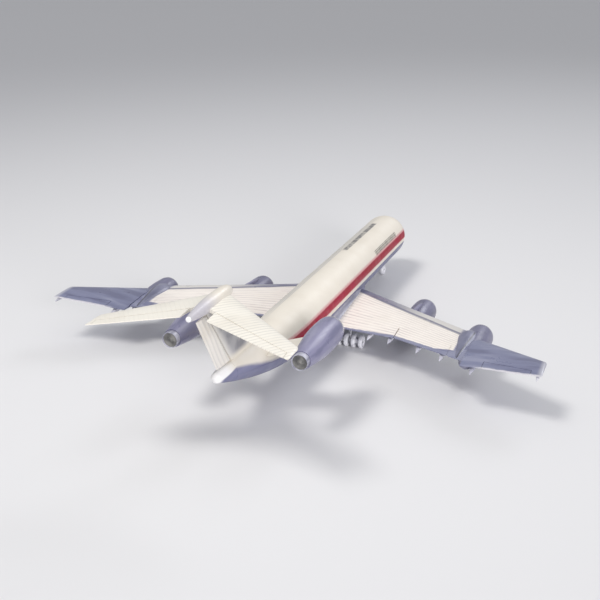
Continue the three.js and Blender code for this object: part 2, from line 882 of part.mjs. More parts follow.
// The fork turns in the strut and carries the axle.
function noseFork() {
  const g = noseGear;
  const y = stationY(g.station);
  const pin = rod(0.9, 10, new THREE.Vector3(0, y, 20), "z");
  const [low, high] = [g.wheelRadius, 16.5];
  const leg = rod(1.6, high - low, new THREE.Vector3(0, y, (low + high) / 2), "z");
  const axleLength = 2 * (g.wheelX + g.wheelWidth / 2);
  const axle = rod(g.axleRadius, axleLength, new THREE.Vector3(0, y, g.wheelRadius), "x");
  return pin.add(leg).add(axle);
}

function mainLeg() {
  const g = mainGear;
  const y = stationY(g.station);
  const wingUnderside = 26.2;
  const knee = 2 * g.wheelRadius + 1.4;
  const upright = (radius, low, high) =>
    rod(radius, high - low, new THREE.Vector3(g.x, y, (low + high) / 2), "z");
  const leg = upright(g.legRadius, knee, wingUnderside).add(
    upright(g.ankleRadius, g.wheelRadius, knee + 1),
  );
  const [low, high] = [wingUnderside - 1, wingUnderside + 4];
  const pad = block(g.x - 5, g.x + 5, g.station - 11, g.station + 3, low, high);
  const axleLength = 3 * g.spacing + g.wheelWidth;
  const axle = rod(g.axleRadius, axleLength, new THREE.Vector3(g.x, y, g.wheelRadius), "x");
  const brace = sidePrism(
    [
      [g.station - 10, wingUnderside],
      [g.station - 7, wingUnderside],
      [g.station + 1, knee + 0.4],
      [g.station - 1, knee + 0.4],
    ],
    g.x - 0.9,
    g.x + 0.9,
  );
  return largest(leg.add(pad).add(axle).add(brace).subtract(innerWingBody(GAP)));
}

// ---------------------------------------------------------------- assembly

const aircraft = new THREE.Group();

function add(parent, name, solid, finish) {
  const mesh = new THREE.Mesh(toGeometry(solid), finish);
  mesh.name = name;
  parent.add(mesh);
}

add(aircraft, "fuselage_upper_shell", upperShell, cream);
add(aircraft, "fuselage_lower_shell", lowerShell(), greyPaint);
add(aircraft, "nose_cone", noseCone, cream);
add(aircraft, "windscreen", windscreen, darkGlass);
add(aircraft, "tail_cone", tailCone(), cream);
add(aircraft, "belly_fairing", bellyFairing(), greyPaint);
add(aircraft, "wing_spar", sparBlock(0), steel);
add(aircraft, "nose_ballast", noseBallast(), steel);
add(aircraft, "fin", finSolid(), cream);
add(aircraft, "rudder", rudder, cream);
add(aircraft, "fin_bullet", bulletBody, cream);
add(aircraft, "tail_light", tailLight, whiteLens);
add(aircraft, "nose_gear_strut", noseStrut(), chrome);
add(aircraft, "nose_gear_fork", noseFork(), chrome);

const engines = { inner: innerEngine, outer: outerEngine, rear: rearEngine };
const halfPieces = [
  ["inner_wing", innerWing, cream],
  ["leading_edge", leadingEdge, greyPaint],
  ["outer_wing", outerWing(), greyPaint],
  ["inner_flap", flapPiece(flap.innerX, track.innerX), greyPaint],
  ["outer_flap", flapPiece(flap.outerX, track.outerX), greyPaint],
  ["aileron", aileronSolid, greyPaint],
  ["tailplane", tailplaneSolid(), cream],
  ["elevator", elevator, cream],
  ["inner_pylon", innerPylon(), greyPaint],
  ["rear_pylon", rearPylon(), greyPaint],
  ["nose_wheel", noseWheel(1), rubber],
  ["main_gear_leg", mainLeg(), chrome],
  ["main_wheels_inner", twinWheel(mainGear.x - mainGear.spacing), rubber],
  ["main_wheels_outer", twinWheel(mainGear.x + mainGear.spacing), rubber],
];
for (const [where, engine] of Object.entries(engines)) {
  halfPieces.push([`${where}_cowl`, cowl(engine), greyPaint]);
  halfPieces.push([`${where}_fan`, fan(engine), darkMetal]);
  halfPieces.push([`${where}_engine_core`, core(engine), darkMetal]);
}

for (const [side, sign] of [["right", 1], ["left", -1]]) {
  const half = new THREE.Group();
  half.scale.x = sign;
  for (const [name, solid, finish] of halfPieces) add(half, `${side}_${name}`, solid, finish);
  aircraft.add(half);
}

export default aircraft;
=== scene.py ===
"""The looks of the jet airliner display model, in metres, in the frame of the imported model.

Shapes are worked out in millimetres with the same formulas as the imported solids, at a finer step.
A station is a distance aft of the nose. Right-hand pieces are made once, and mirrored for the left.
"""

import json
import math

import bmesh
import bpy
from mathutils import Matrix, Vector


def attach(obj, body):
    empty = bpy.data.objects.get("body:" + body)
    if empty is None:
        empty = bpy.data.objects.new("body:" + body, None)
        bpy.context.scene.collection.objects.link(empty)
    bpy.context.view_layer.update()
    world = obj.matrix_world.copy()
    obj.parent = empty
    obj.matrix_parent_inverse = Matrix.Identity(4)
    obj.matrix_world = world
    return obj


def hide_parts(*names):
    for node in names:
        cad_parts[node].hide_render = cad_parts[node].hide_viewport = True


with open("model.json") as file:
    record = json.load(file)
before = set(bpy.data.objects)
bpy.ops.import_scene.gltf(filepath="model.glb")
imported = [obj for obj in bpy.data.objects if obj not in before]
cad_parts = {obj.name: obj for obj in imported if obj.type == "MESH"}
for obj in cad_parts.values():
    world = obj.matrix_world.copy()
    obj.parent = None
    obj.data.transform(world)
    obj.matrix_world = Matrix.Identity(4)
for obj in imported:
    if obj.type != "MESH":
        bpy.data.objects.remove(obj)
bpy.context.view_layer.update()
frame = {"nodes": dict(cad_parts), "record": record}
SLOT_OF = {part["node"]: part["material_slot"] for part in frame["record"]["subparts"]}

MM = 0.001
pi, sin, cos, sqrt, radians = math.pi, math.sin, math.cos, math.sqrt, math.radians

# Fuselage: its axis, its round part, and the tapers at its ends
NOSE_Y, AXIS_Z = 301.0, 48.0
RADIUS, WALL, NOSE_LENGTH, NOSE_DROOP, NOSE_CONE = 26.5, 2.0, 34.0, 5.0, 6.0
TAPER_START, SHELL_END, LENGTH, TAIL_RADIUS, TAIL_DROP = 375.0, 517.0, 541.0, 5.0, 4.4
SEAM = 9.0  # degrees below level where the two halves meet

# Wing: distances out, and the stations of its edges there
ROOT_X, KINK_X, POD_X, TIP_X = 24.6, 100.0, 181.5, 258.5
ROOT_REAR, KINK_REAR, POD_REAR = 310.0, 330.0, 376.0
OUTER_FRONT, OUTER_REAR = (317.0, 364.5), (387.0, 398.5)
ROOT_FRONT, FRONT_SLOPE, ROOT_Z, DIHEDRAL = 191.6, 0.74, 30.4, 0.0925
FLAP_CHORD, STRIP = 22.0, 22.0
INNER_FLAP_X, OUTER_FLAP_X, AILERON_X = (25.5, 99.5), (100.7, 163.5), (203.0, 249.0)
GAP = 0.3  # between panels, and at the tail's hinges
SLIT = 0.16  # at the wing's hinges
END_GAP = 0.5  # beside the ailerons and elevators

# Tail: heights on the fin with the stations of its edges there, and distances out on the tailplane
FIN_Z, FIN_FRONT, FIN_REAR = (66.0, 137.0), (446.0, 519.0), (536.0, 582.0)
RUDDER_Z, BULLET_Z = (72.6, 131.0), 139.0
ELEVATOR_X = (12.0, 86.0)

# Landing gear
NOSE_GEAR, NOSE_WHEEL_RADIUS = 46.0, 6.5
MAIN_X, MAIN_STATION, MAIN_RADIUS, SPACING = 40.2, 286.0, 7.4, 8.2


def y_of(station):
    return NOSE_Y - station


def lerp(a, b, t):
    return a + (b - a) * t


def linear(x, x0, x1, y0, y1):
    return y0 + (x - x0) * (y1 - y0) / (x1 - x0)


def steps(a, b, n):
    return [lerp(a, b, i / n) for i in range(n + 1)]


# The next three take a distance out, as a number or as a paint's value.
def wing_z(x):
    return ROOT_Z + DIHEDRAL * (x - ROOT_X)


def wing_front(x):
    return ROOT_FRONT + FRONT_SLOPE * (x - ROOT_X)


def outer_rear(x):
    return linear(x, POD_X, TIP_X, *OUTER_REAR)


def add_object(name, data):
    made = bpy.data.objects.new(name, data)
    bpy.context.collection.objects.link(made)
    return made


# ---- camera

MODEL_SCALE = 1 / 72
# The eye's place in metres at full size: from a point behind the nose, along the view's own directions
BEHIND_NOSE, EYE_BACK, EYE_RIGHT, EYE_UP = 24, 79.48, -0.10339, 1.13082
azimuth, elevation, roll = radians(20.73), radians(21.01), radians(0.924)
back = Vector((sin(azimuth) * cos(elevation), -cos(azimuth) * cos(elevation), sin(elevation)))
right = (-back).cross(Vector((0, 0, 1))).normalized()
up = right.cross(-back)
right, up = cos(roll) * right + sin(roll) * up, cos(roll) * up - sin(roll) * right
eye = Vector((0, -BEHIND_NOSE, 0)) + back * EYE_BACK + right * EYE_RIGHT + up * EYE_UP
eye = eye * MODEL_SCALE + Vector((0, NOSE_Y * MM, AXIS_Z * MM))
camera_data = bpy.data.cameras.new("camera")
camera_data.lens, camera_data.sensor_width = 63, 36
camera_data.clip_start, camera_data.clip_end = 0.01, 50
camera = add_object("camera", camera_data)
camera.matrix_world = Matrix((
    (right.x, up.x, back.x, eye.x),
    (right.y, up.y, back.y, eye.y),
    (right.z, up.z, back.z, eye.z),
    (0, 0, 0, 1),
))
bpy.context.scene.camera = camera
bpy.context.scene.view_settings.view_transform = "Standard"


# ---- mesh making


class Form:
    """Points in millimetres and faces, gathered before they become one mesh."""

    def __init__(self):
        self.points, self.faces = [], []

    def loft(self, loops, caps=True):
        start, count = len(self.points), len(loops[0])
        for loop in loops:
            self.points += [tuple(p) for p in loop]
        for k in range(len(loops) - 1):
            for i in range(count):
                a, b = start + k * count + i, start + k * count + (i + 1) % count
                self.faces.append((a, b, b + count, a + count))
        if caps:
            self.faces.append(tuple(range(start + count - 1, start - 1, -1)))
            last = start + (len(loops) - 1) * count
            self.faces.append(tuple(range(last, last + count)))
        return self

    def turn(self, profile, place, sides=48, closed=False):
        """A surface of revolution; place turns two offsets and a distance into a point."""
        rings = []
        for r, d in profile:
            start = len(self.points)
            if r < 1e-5:
                self.points.append(place(0, 0, d))
                rings.append([start] * sides)
            else:
                angles = [2 * pi * i / sides for i in range(sides)]
                self.points += [place(r * cos(a), r * sin(a), d) for a in angles]
                rings.append([start + i for i in range(sides)])
        if closed:
            rings.append(rings[0])
        for one, two in zip(rings, rings[1:]):
            for i in range(sides):
                j = (i + 1) % sides
                face = []
                for v in (one[i], one[j], two[j], two[i]):
                    if v not in face:
                        face.append(v)
                if len(face) > 2:
                    self.faces.append(tuple(face))
        return self


def along_y(x, z):
    return lambda a, b, station: (x + a, y_of(station), z + b)


def along_x(station, z):
    return lambda a, b, x: (x, y_of(station) + a, z + b)


def along_z(x, station):
    return lambda a, b, z: (x + a, y_of(station) + b, z)


def curve_through(points, each=6):
    """A Catmull-Rom curve through pairs of numbers."""
    ends = [points[0], *points, points[-1]]
    out = []
    for i in range(1, len(ends) - 2):
        p0, p1, p2, p3 = ends[i - 1 : i + 3]
        for k in range(each):
            t = k / each
            out.append(tuple(
                0.5 * (2 * b + (c - a) * t + (2 * a - 5 * b + 4 * c - d) * t * t
                       + (3 * b - a - 3 * c + d) * t ** 3)
                for a, b, c, d in zip(p0, p1, p2, p3)
            ))
    out.append(points[-1])
    return [(max(0.0, r), d) for r, d in out]


def prism(outline, x0, x1, form=None):
    """A bar across x over an outline of (station, z) pairs, in a form of its own or added to one."""
    return (form or Form()).loft([[(x, y_of(s), z) for s, z in outline] for x in (x0, x1)])


def raw(name, form):
    mesh = bpy.data.meshes.new(name)
    mesh.from_pydata([(x * MM, y * MM, z * MM) for x, y, z in form.points], [], form.faces)
    bm = bmesh.new()
    bm.from_mesh(mesh)
    bmesh.ops.remove_doubles(bm, verts=bm.verts, dist=1e-6)
    bmesh.ops.recalc_face_normals(bm, faces=bm.faces)
    bm.to_mesh(mesh)
    bm.free()
    return add_object(name, mesh)


def carve(piece, cutter, operation="DIFFERENCE", keep=False):
    modifier = piece.modifiers.new("carve", "BOOLEAN")
    modifier.object, modifier.operation, modifier.solver = cutter, operation, "EXACT"
    graph = bpy.context.evaluated_depsgraph_get()
    graph.update()
    mesh = bpy.data.meshes.new_from_object(piece.evaluated_get(graph))
    piece.modifiers.clear()
    piece.data = mesh
    if not keep:
        bpy.data.objects.remove(cutter)
    return piece


def dress(piece, material, nodes=(), body="airframe", bevel=0.0, sharp=40, slot=None):
    piece.data.materials.clear()
    piece.data.materials.append(material)
    for polygon in piece.data.polygons:
        polygon.use_smooth = True
    if bevel:
        edge = piece.modifiers.new("edge", "BEVEL")
        edge.width, edge.segments, edge.limit_method = bevel * MM, 2, "ANGLE"
        edge.angle_limit = radians(38)
        piece.modifiers.new("normals", "WEIGHTED_NORMAL")
    else:
        piece.data.set_sharp_from_angle(angle=radians(sharp))
    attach(piece, body)
    if nodes:
        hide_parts(*nodes)
    slot or (SLOT_OF[nodes[0]] if nodes else "grey_paint")
    return piece


def pair(name, shape, material, nodes=(), body="airframe", bevel=0.0, sharp=40, slot=None):
    """Dresses a right-hand piece and its mirror image; a moving body is named without its side."""
    piece = raw(name, shape) if isinstance(shape, Form) else shape
    twin = add_object(f"left_{name}", piece.data.copy())
    twin.data.transform(Matrix.Scale(-1, 4, (1, 0, 0)))
    twin.data.flip_normals()
    piece.name = f"right_{name}"
    for side, each in (("right", piece), ("left", twin)):
        own = body if body == "airframe" else f"{side}_{body}"
        dress(each, material, [f"{side}_{n}" for n in nodes], own, bevel, sharp, slot)


# ---- materials


def sum_node(kind):
    """An arithmetic method for Value, done by one node of that kind."""
    return lambda value, *others: value.paint.sum(kind, value, *others)


class Value:
    """A number that varies over the surface; its arithmetic makes the nodes that work it out."""

    def __init__(self, paint, socket):
        self.paint, self.socket = paint, socket

    def __rsub__(self, other):
        return self.paint.sum("SUBTRACT", other, self)

    __add__ = __radd__ = sum_node("ADD")
    __mul__ = __rmul__ = sum_node("MULTIPLY")
    __sub__, __truediv__, __pow__ = sum_node("SUBTRACT"), sum_node("DIVIDE"), sum_node("POWER")
    __abs__ = sum_node("ABSOLUTE")


class Paint:
    """A node material, with short calls for the values and colours that go into it."""

    def __init__(self, name, roughness=0.4, metallic=0.0, coat=0.0, coat_roughness=0.1):
        self.material = bpy.data.materials.new(name)
        self.material.use_nodes = True
        self.tree = self.material.node_tree
        self.shader = self.tree.nodes["Principled BSDF"]
        for label, value in (("Roughness", roughness), ("Metallic", metallic), ("Coat Weight", coat),
                             ("Coat Roughness", coat_roughness)):
            self.shader.inputs[label].default_value = value
        self.coord = self.node("TexCoord").outputs["Object"]
        split = self.node("SeparateXYZ")
        self.tree.links.new(self.coord, split.inputs[0])
        x, y, self.z = (Value(self, each) * 1000 for each in split.outputs)
        self.x, self.across, self.station = x, abs(x), NOSE_Y - y

    def node(self, kind):
        return self.tree.nodes.new(f"ShaderNode{kind}")

    def put(self, socket, value):
        value = value.socket if isinstance(value, Value) else value
        if isinstance(value, bpy.types.NodeSocket):
            self.tree.links.new(value, socket)
        else:
            socket.default_value = value

    def sum(self, operation, *values):
        node = self.node("Math")
        node.operation = operation
        for socket, value in zip(node.inputs, values):
            self.put(socket, value)
        return Value(self, node.outputs[0])

    def sine(self, value):
        return self.sum("SINE", value)

    def larger(self, one, two):
        return self.sum("MAXIMUM", one, two)

    def ramp(self, value, low, high, to_low=0.0, to_high=1.0, smooth=True):
        node = self.node("MapRange")
        node.interpolation_type = "SMOOTHSTEP" if smooth else "LINEAR"
        for socket, each in zip(node.inputs, (value, low, high, to_low, to_high)):
            self.put(socket, each)
        return Value(self, node.outputs[0])

    def fall(self, value, low, high):
        return self.ramp(value, low, high, 1.0, 0.0)

    def band(self, value, middle, half, soft):
        """1 within half of the middle, 0 beyond it."""
        return self.fall(abs(value - middle), half - soft, half + soft)

    def noise(self, scale, detail=3.0, stretch=None, seed=0.0):
        place = self.coord
        if stretch or seed:
            node = self.node("Mapping")
            self.put(node.inputs["Vector"], self.coord)
            node.inputs["Scale"].default_value = stretch or (1, 1, 1)
            node.inputs["Location"].default_value = (seed, seed, seed)
            place = node.outputs[0]
        node = self.node("TexNoise")
        self.put(node.inputs["Vector"], place)
        node.inputs["Scale"].default_value = scale
        node.inputs["Detail"].default_value = detail
        return Value(self, node.outputs["Fac"])

    def mix(self, factor, a, b):
        node = self.node("Mix")
        node.data_type = "RGBA"
        self.put(node.inputs[0], factor)
        for socket, value in ((node.inputs[6], a), (node.inputs[7], b)):
            self.put(socket, (*value, 1.0) if isinstance(value, tuple) else value)
        return node.outputs[2]

    def finish(self, colour, bumps=(), roughness=None):
        """Sets the colour, and adds each (height, distance in mm) as a bump."""
        self.put(self.shader.inputs["Base Color"], colour)
        if roughness is not None:
            self.put(self.shader.inputs["Roughness"], roughness)
        normal = None
        for height, distance in bumps:
            node = self.node("Bump")
            node.inputs["Distance"].default_value = distance * MM
            self.put(node.inputs["Height"], height)
            if normal:
                self.put(node.inputs["Normal"], normal)
            normal = node.outputs[0]
        if normal:
            self.put(self.shader.inputs["Normal"], normal)
        return self.material

    def satin(self, colour, base, *bumps, grain=700):
        """Finishes a brushed coat: a fine grain, any coarser bumps, and roughness that varies a little."""
        return self.finish(colour, [(self.noise(grain, 2), 0.03), *bumps], peel(self, base))


CREAM = (0.775, 0.727, 0.64)
CREAM_DEEP = (0.70, 0.643, 0.55)
LAVENDER = (0.185, 0.19, 0.305)
LAVENDER_DEEP = (0.115, 0.115, 0.20)
LAVENDER_PALE = (0.30, 0.30, 0.42)
RED = (0.345, 0.004, 0.036)


def worn(paint, colour, deep, amount=0.55):
    """Mottling, and the fine specks that a hand-painted model has."""
    broad = paint.ramp(paint.noise(28, 4), 0.42, 0.72, 0.0, amount)
    colour = paint.mix(broad, colour, deep)
    specks = paint.ramp(paint.noise(900, 1, seed=3), 0.76, 0.82, 0.0, 0.3)
    return paint.mix(specks, colour, tuple(0.45 * c for c in deep))


def peel(paint, base):
    """Roughness that varies a little, for a brushed coat of paint."""
    return paint.ramp(paint.noise(90, 3, seed=7), 0.3, 0.7, base - 0.07, base + 0.09)


def cream_paint():
    paint = Paint("cream_paint", coat=0.25, coat_roughness=0.2)
    return paint.satin(worn(paint, CREAM, CREAM_DEEP), 0.36, (paint.noise(120, 2), 0.08))


def white_paint():
    paint = Paint("tail_white_paint", coat=0.4, coat_roughness=0.15)
    patches = paint.ramp(paint.noise(60, 3), 0.35, 0.7, 0.0, 0.5)
    return paint.satin(paint.mix(patches, (0.88, 0.87, 0.86), (0.76, 0.75, 0.78)), 0.32)


def grey_paint(name, pale, base, deep, stretch=(6, 0.7, 6), coat=0.25):
    paint = Paint(name, coat=coat, coat_roughness=0.15)
    streaks = paint.noise(34, 4, stretch=stretch)
    colour = paint.mix(paint.ramp(streaks, 0.36, 0.5), deep, base)
    colour = paint.mix(paint.ramp(streaks, 0.52, 0.7, 0.0, 0.75), colour, pale)
    specks = paint.ramp(paint.noise(430, 2, seed=5), 0.7, 0.77, 0.0, 0.3)
    colour = paint.mix(specks, colour, deep)
    return paint.satin(colour, 0.34, (streaks, 0.12), grain=800)


def tail_almond(paint):
    """Where the tail is lavender: below a line that climbs its sides, ending round on the tail cone."""
    along = paint.ramp(paint.station, TAPER_START, LENGTH, smooth=False)
    radius = RADIUS - (RADIUS - TAIL_RADIUS) * along ** 1.6
    middle = AXIS_Z + RADIUS - radius - TAIL_DROP * along
    height = (paint.z - middle) / radius
    climb = paint.ramp(paint.station, 425, 522, smooth=False)
    line = 0.86 * climb * climb - 0.18
    edge = height - line + 0.12 * paint.noise(90, 2) - 0.06
    bow = paint.larger((height + 0.45) / 0.7, 0.0)
    end = paint.station + 10 * bow * bow
    return paint.fall(edge, -0.16, 0.16) * paint.fall(end, 536, 542) * paint.ramp(paint.station, 424, 428)


def lavender_coat(paint):
    """Blue-grey brushed along the fuselage, a little paler in places."""
    streaks = paint.noise(26, 3, stretch=(2, 0.25, 2))
    coat = paint.mix(paint.ramp(streaks, 0.3, 0.6), (0.15, 0.15, 0.265), LAVENDER)
    return paint.mix(paint.ramp(streaks, 0.52, 0.75, 0.0, 0.6), coat, LAVENDER_PALE)


def belly_paint():
    paint = Paint("belly_paint", coat=0.15, coat_roughness=0.25)
    return paint.satin(lavender_coat(paint), 0.42)


def livery():
    """Cream fuselage: red line along each side, plain window marks, a broken strip on the roof, painted shade
    with faint lines on the roof's left side, and a painted highlight that whitens the tail end.
    """
    paint = Paint("livery_paint", coat=0.04, coat_roughness=0.25)
    paint.shader.inputs["Specular IOR Level"].default_value = 0.28
    colour = worn(paint, CREAM, CREAM_DEEP, 0.4)
    ahead = paint.ramp(paint.station, 0, NOSE_LENGTH, 1.0, 0.0, smooth=False)
    height = paint.z + 9.5 * ahead * ahead + 0.8 * paint.noise(240, 3) - 0.4
    on_body = paint.fall(paint.station, 436, 447)
    blush = paint.band(height, 53.9, 5.5, 1.4) * on_body
    colour = paint.mix(0.7 * blush, colour, (0.62, 0.20, 0.23))
    red = paint.band(height, 53.2, 4.0, 0.8) * on_body
    red_tone = paint.mix(paint.ramp(paint.noise(60, 4), 0.35, 0.7), RED, (0.31, 0.006, 0.02))
    colour = paint.mix(red, colour, red_tone)

    pitch = 4.2
    row = paint.station / pitch
    cell = (paint.sum("FRACT", row) - 0.5) * pitch
    odd = paint.sum("FRACT", 437.5 * paint.sine(paint.sum("FLOOR", row)))
    wide = abs(cell / 1.35)
    tall = abs((paint.z - 61.6) / 2.8)
    corner = wide ** 3.5 + tall ** 3.5
    pane = paint.fall(corner, 0.8, 1.2) * paint.band(paint.station, 102.9, 42.0, 0.1)
    colour = paint.mix(pane * (0.68 + 0.25 * odd), colour, (0.05, 0.045, 0.035))

    high = paint.ramp(paint.z, 60, 64)
    roof = paint.band(paint.x, -3.4, 3.0, 0.9) * paint.band(paint.station, 126, 58, 4)
    broken = paint.ramp(paint.noise(170, 3, stretch=(1, 1.4, 1)), 0.38, 0.55, 0.5, 0.92)
    colour = paint.mix(roof * broken * high, colour, (0.14, 0.14, 0.145))
    # Painted shade with faint lines: a grey band streaked along the left side of the roof.
    lines = paint.ramp(paint.sine(1.5 * paint.noise(14, 2) + 2.3 * paint.x), -0.3, 0.8, 0.2, 0.85)
    grey = paint.band(paint.x, -12.5, 5.5, 2.0) * lines * paint.band(paint.station, 225, 165, 40) * high
    colour = paint.mix(grey, colour, (0.40, 0.40, 0.40))
    under = paint.fall(paint.z, 41.4, 42.0) * paint.fall(paint.station, 15, 20)
    # Painted highlight: the tail end turns near white towards its tip.
    colour = paint.mix(paint.ramp(paint.station, 512, 532), colour, (0.90, 0.89, 0.89))
    colour = paint.mix(paint.larger(under, tail_almond(paint)), colour, lavender_coat(paint))
    return paint.satin(colour, 0.46, (paint.noise(70, 3), 0.1), (pane, -0.12))


def wing_lines(paint):
    """The stations of the inner wing's front and rear edges, at any point's distance out."""
    inboard = linear(paint.across, ROOT_X, KINK_X, ROOT_REAR, KINK_REAR)
    outboard = linear(paint.across, KINK_X, POD_X, KINK_REAR, POD_REAR)
    return wing_front(paint.across), paint.larger(inboard, outboard)


def wing_cream(name):
    """Cream panels with fine ribs that run along the span, and grey along the trailing edge."""
    paint = Paint(name, coat=0.2, coat_roughness=0.22)
    front, rear = wing_lines(paint)
    share = (paint.station - front) / (rear - front)
    wave = paint.sine(2 * pi * 17 * share + 0.9 * paint.noise(22, 2))
    line = paint.ramp(wave, 0.3, 1.0)
    patchy = paint.ramp(paint.noise(36, 3, stretch=(0.5, 2, 1)), 0.35, 0.65, 0.25, 0.85)
    colour = worn(paint, (0.92, 0.862, 0.80), (0.83, 0.77, 0.69), 0.4)
    colour = paint.mix(line * patchy, colour, (0.60, 0.54, 0.525))

    streaks = paint.noise(34, 4, stretch=(0.6, 3, 2))
    grey = paint.mix(paint.ramp(streaks, 0.4, 0.6), LAVENDER, (0.26, 0.27, 0.38))
    margin = paint.larger(0.025 * paint.across + 1.5, 0.4 * paint.across - 54)
    edge = rear - paint.station - margin + 3 * paint.noise(120, 2) - 1.5
    trailing = paint.fall(edge, -0.8, 0.8)
    below = paint.fall(paint.z - wing_z(paint.across), -1.2, -0.4)
    end = paint.ramp(paint.across, 167, 169.5)
    colour = paint.mix(paint.larger(paint.larger(trailing, below), end), colour, grey)
    return paint.satin(colour, 0.38, (wave, 0.14))


def outer_wing_paint():
    """Blue-grey brushed along the span, with a worn pale line at the rear edge."""
    paint = Paint("outer_wing_paint", coat=0.4, coat_roughness=0.16)
    streaks = paint.noise(34, 4, stretch=(0.55, 2.6, 2))
    colour = paint.mix(paint.ramp(streaks, 0.36, 0.52), (0.13, 0.137, 0.23), (0.18, 0.192, 0.305))
    colour = paint.mix(paint.ramp(streaks, 0.52, 0.7, 0.0, 0.75), colour, (0.29, 0.30, 0.41))
    ragged = outer_rear(paint.across) - paint.station + 3 * paint.noise(140, 2)
    pale = paint.ramp(ragged, 2.2, 3.6, 0.85, 0.0) * paint.ramp(paint.across, 192, 206)
    colour = paint.mix(pale, colour, (0.70, 0.68, 0.71))
    tip = paint.ramp(paint.across, 254, 259, 0.0, 0.7)
    colour = paint.mix(tip, colour, (0.52, 0.52, 0.56))
    return paint.satin(colour, 0.34, (streaks, 0.1), grain=800)


def saddle_paint():
    """Blue-grey, with a dark seam where the teardrop meets the outer wing."""
    paint = Paint("saddle_paint", coat=0.4, coat_roughness=0.16)
    clouds = paint.noise(60, 3, stretch=(1, 0.5, 1))
    colour = paint.mix(paint.ramp(clouds, 0.35, 0.65), (0.13, 0.135, 0.21), (0.22, 0.225, 0.32))
    bent = 180.2 - 5 * paint.ramp(paint.station, 310, 372)
    seam = paint.band(paint.across - bent, 0.0, 0.8, 0.5)
    colour = paint.mix(0.85 * seam, colour, (0.05, 0.05, 0.07))
    return paint.satin(colour, 0.42, grain=800)


def leading_grey():
    """The front strip: pale at the edge, and darkest along the joint behind it."""
    paint = Paint("leading_edge_paint", coat=0.4, coat_roughness=0.16)
    front, _ = wing_lines(paint)
    wavy = paint.station - front + 4 * paint.noise(26, 3)
    inboard = paint.fall(paint.across, 60, 125)
    streaks = paint.noise(30, 4, stretch=(0.5, 2, 1))
    dull = paint.mix(paint.ramp(streaks, 0.38, 0.62), LAVENDER_DEEP, (0.21, 0.21, 0.30))
    edge = paint.mix(inboard, (0.68, 0.655, 0.62), dull)
    colour = paint.mix(paint.ramp(wavy, 17, 19.5, 0.0, 0.85), edge, LAVENDER_DEEP)
    colour = paint.mix(paint.ramp(wavy, 21, 23.5), colour, (0.50, 0.48, 0.48))
    colour = paint.mix(paint.ramp(paint.across, 164, 168), colour, LAVENDER)
    return paint.satin(colour, 0.34, (streaks, 0.1), grain=800)


def tail_cream():
    """Tailplane skin, with ribs square to its leading edge."""
    paint = Paint("tail_cream_paint", coat=0.2, coat_roughness=0.22)
    along = 0.537 * paint.station + 0.843 * paint.across
    wave = paint.sine(2 * pi / 3.9 * along)
    line = paint.ramp(wave, 0.2, 1.0) * paint.ramp(paint.x, -8, 8, 0.12, 0.6)
    patchy = paint.ramp(paint.noise(42, 2), 0.35, 0.6, 0.35, 1.0)
    colour = worn(paint, (0.86, 0.825, 0.74), CREAM_DEEP, 0.4)
    colour = paint.mix(line * patchy, colour, (0.60, 0.58, 0.53))
    return paint.satin(colour, 0.38, (line, -0.2))


def fin_grey_and_shadow():
    # Warm grey, darkened in clouds by painted shadow of the tailplane above; paler towards the rudder, cream
    # at the root.
    paint = Paint("fin_shadowed_grey_paint", coat=0.2, coat_roughness=0.25)
    clouds = paint.noise(55, 4)
    colour = paint.mix(paint.ramp(clouds, 0.35, 0.65), (0.20, 0.20, 0.23), (0.38, 0.375, 0.395))
    aft = paint.station - 0.7465 * paint.z
    colour = paint.mix(paint.ramp(aft, 450, 462), colour, (0.76, 0.73, 0.69))
    colour = paint.mix(paint.fall(paint.z, 72, 80), colour, CREAM)
    return paint.satin(colour, 0.42, (clouds, 0.15))


def rudder_paint():
    """Streaks run up the rudder, parallel to its rear edge."""
    paint = Paint("rudder_paint", coat=0.2, coat_roughness=0.22)
    aft = paint.station - (FIN_REAR[1] - FIN_REAR[0]) / (FIN_Z[1] - FIN_Z[0]) * paint.z
    wave = paint.sine(3 * paint.noise(30, 3) + 1.05 * aft)
    colour = worn(paint, (0.82, 0.785, 0.73), CREAM_DEEP, 0.5)
    colour = paint.mix(paint.ramp(wave, 0.1, 1.0, 0.0, 0.4), colour, (0.56, 0.54, 0.52))
    return paint.satin(colour, 0.38, (wave, 0.12))


def bullet_paint():
    paint = Paint("bullet_paint", coat=0.3, coat_roughness=0.18)
    colour = worn(paint, CREAM, CREAM_DEEP, 0.5)
    colour = paint.mix(paint.ramp(paint.station, 538, 572, 0.0, 0.8), colour, (0.47, 0.46, 0.53))
    return paint.satin(colour, 0.34)


def metal(name, colour, roughness, scratch=0.08, axis=(1, 1, 1)):
    paint = Paint(name, metallic=1.0)
    lines = paint.noise(320, 3, stretch=axis)
    tone = paint.mix(paint.ramp(lines, 0.3, 0.7), colour, tuple(0.7 * c for c in colour))
    shine = paint.ramp(paint.noise(150, 3, seed=2), 0.3, 0.7, roughness - scratch, roughness + scratch)
    return paint.finish(tone, [(lines, 0.03)], shine)


def sooty():
    """Exhaust: dark metal, sootier in random clouds."""
    paint = Paint("exhaust_metal", metallic=0.3)
    clouds = paint.noise(180, 4)
    colour = paint.mix(paint.ramp(clouds, 0.3, 0.7), (0.10, 0.10, 0.10), (0.28, 0.275, 0.26))
    return paint.finish(colour, [(clouds, 0.12)], paint.ramp(clouds, 0.3, 0.7, 0.38, 0.6))


def tyre():
    paint = Paint("wheel_plastic", coat=0.15, coat_roughness=0.3)
    grime = paint.noise(260, 3)
    colour = paint.mix(paint.ramp(grime, 0.4, 0.7), (0.86, 0.86, 0.90), (0.66, 0.66, 0.70))
    return paint.finish(colour, [(paint.noise(900, 2), 0.04)], peel(paint, 0.5))


def glassy(name, colour, roughness):
    paint = Paint(name, roughness=roughness, coat=1.0, coat_roughness=0.03)
    tone = paint.mix(paint.ramp(paint.noise(60, 2), 0.3, 0.7), colour, tuple(0.8 * c for c in colour))
    return paint.finish(tone, [(paint.noise(300, 1), 0.01)])


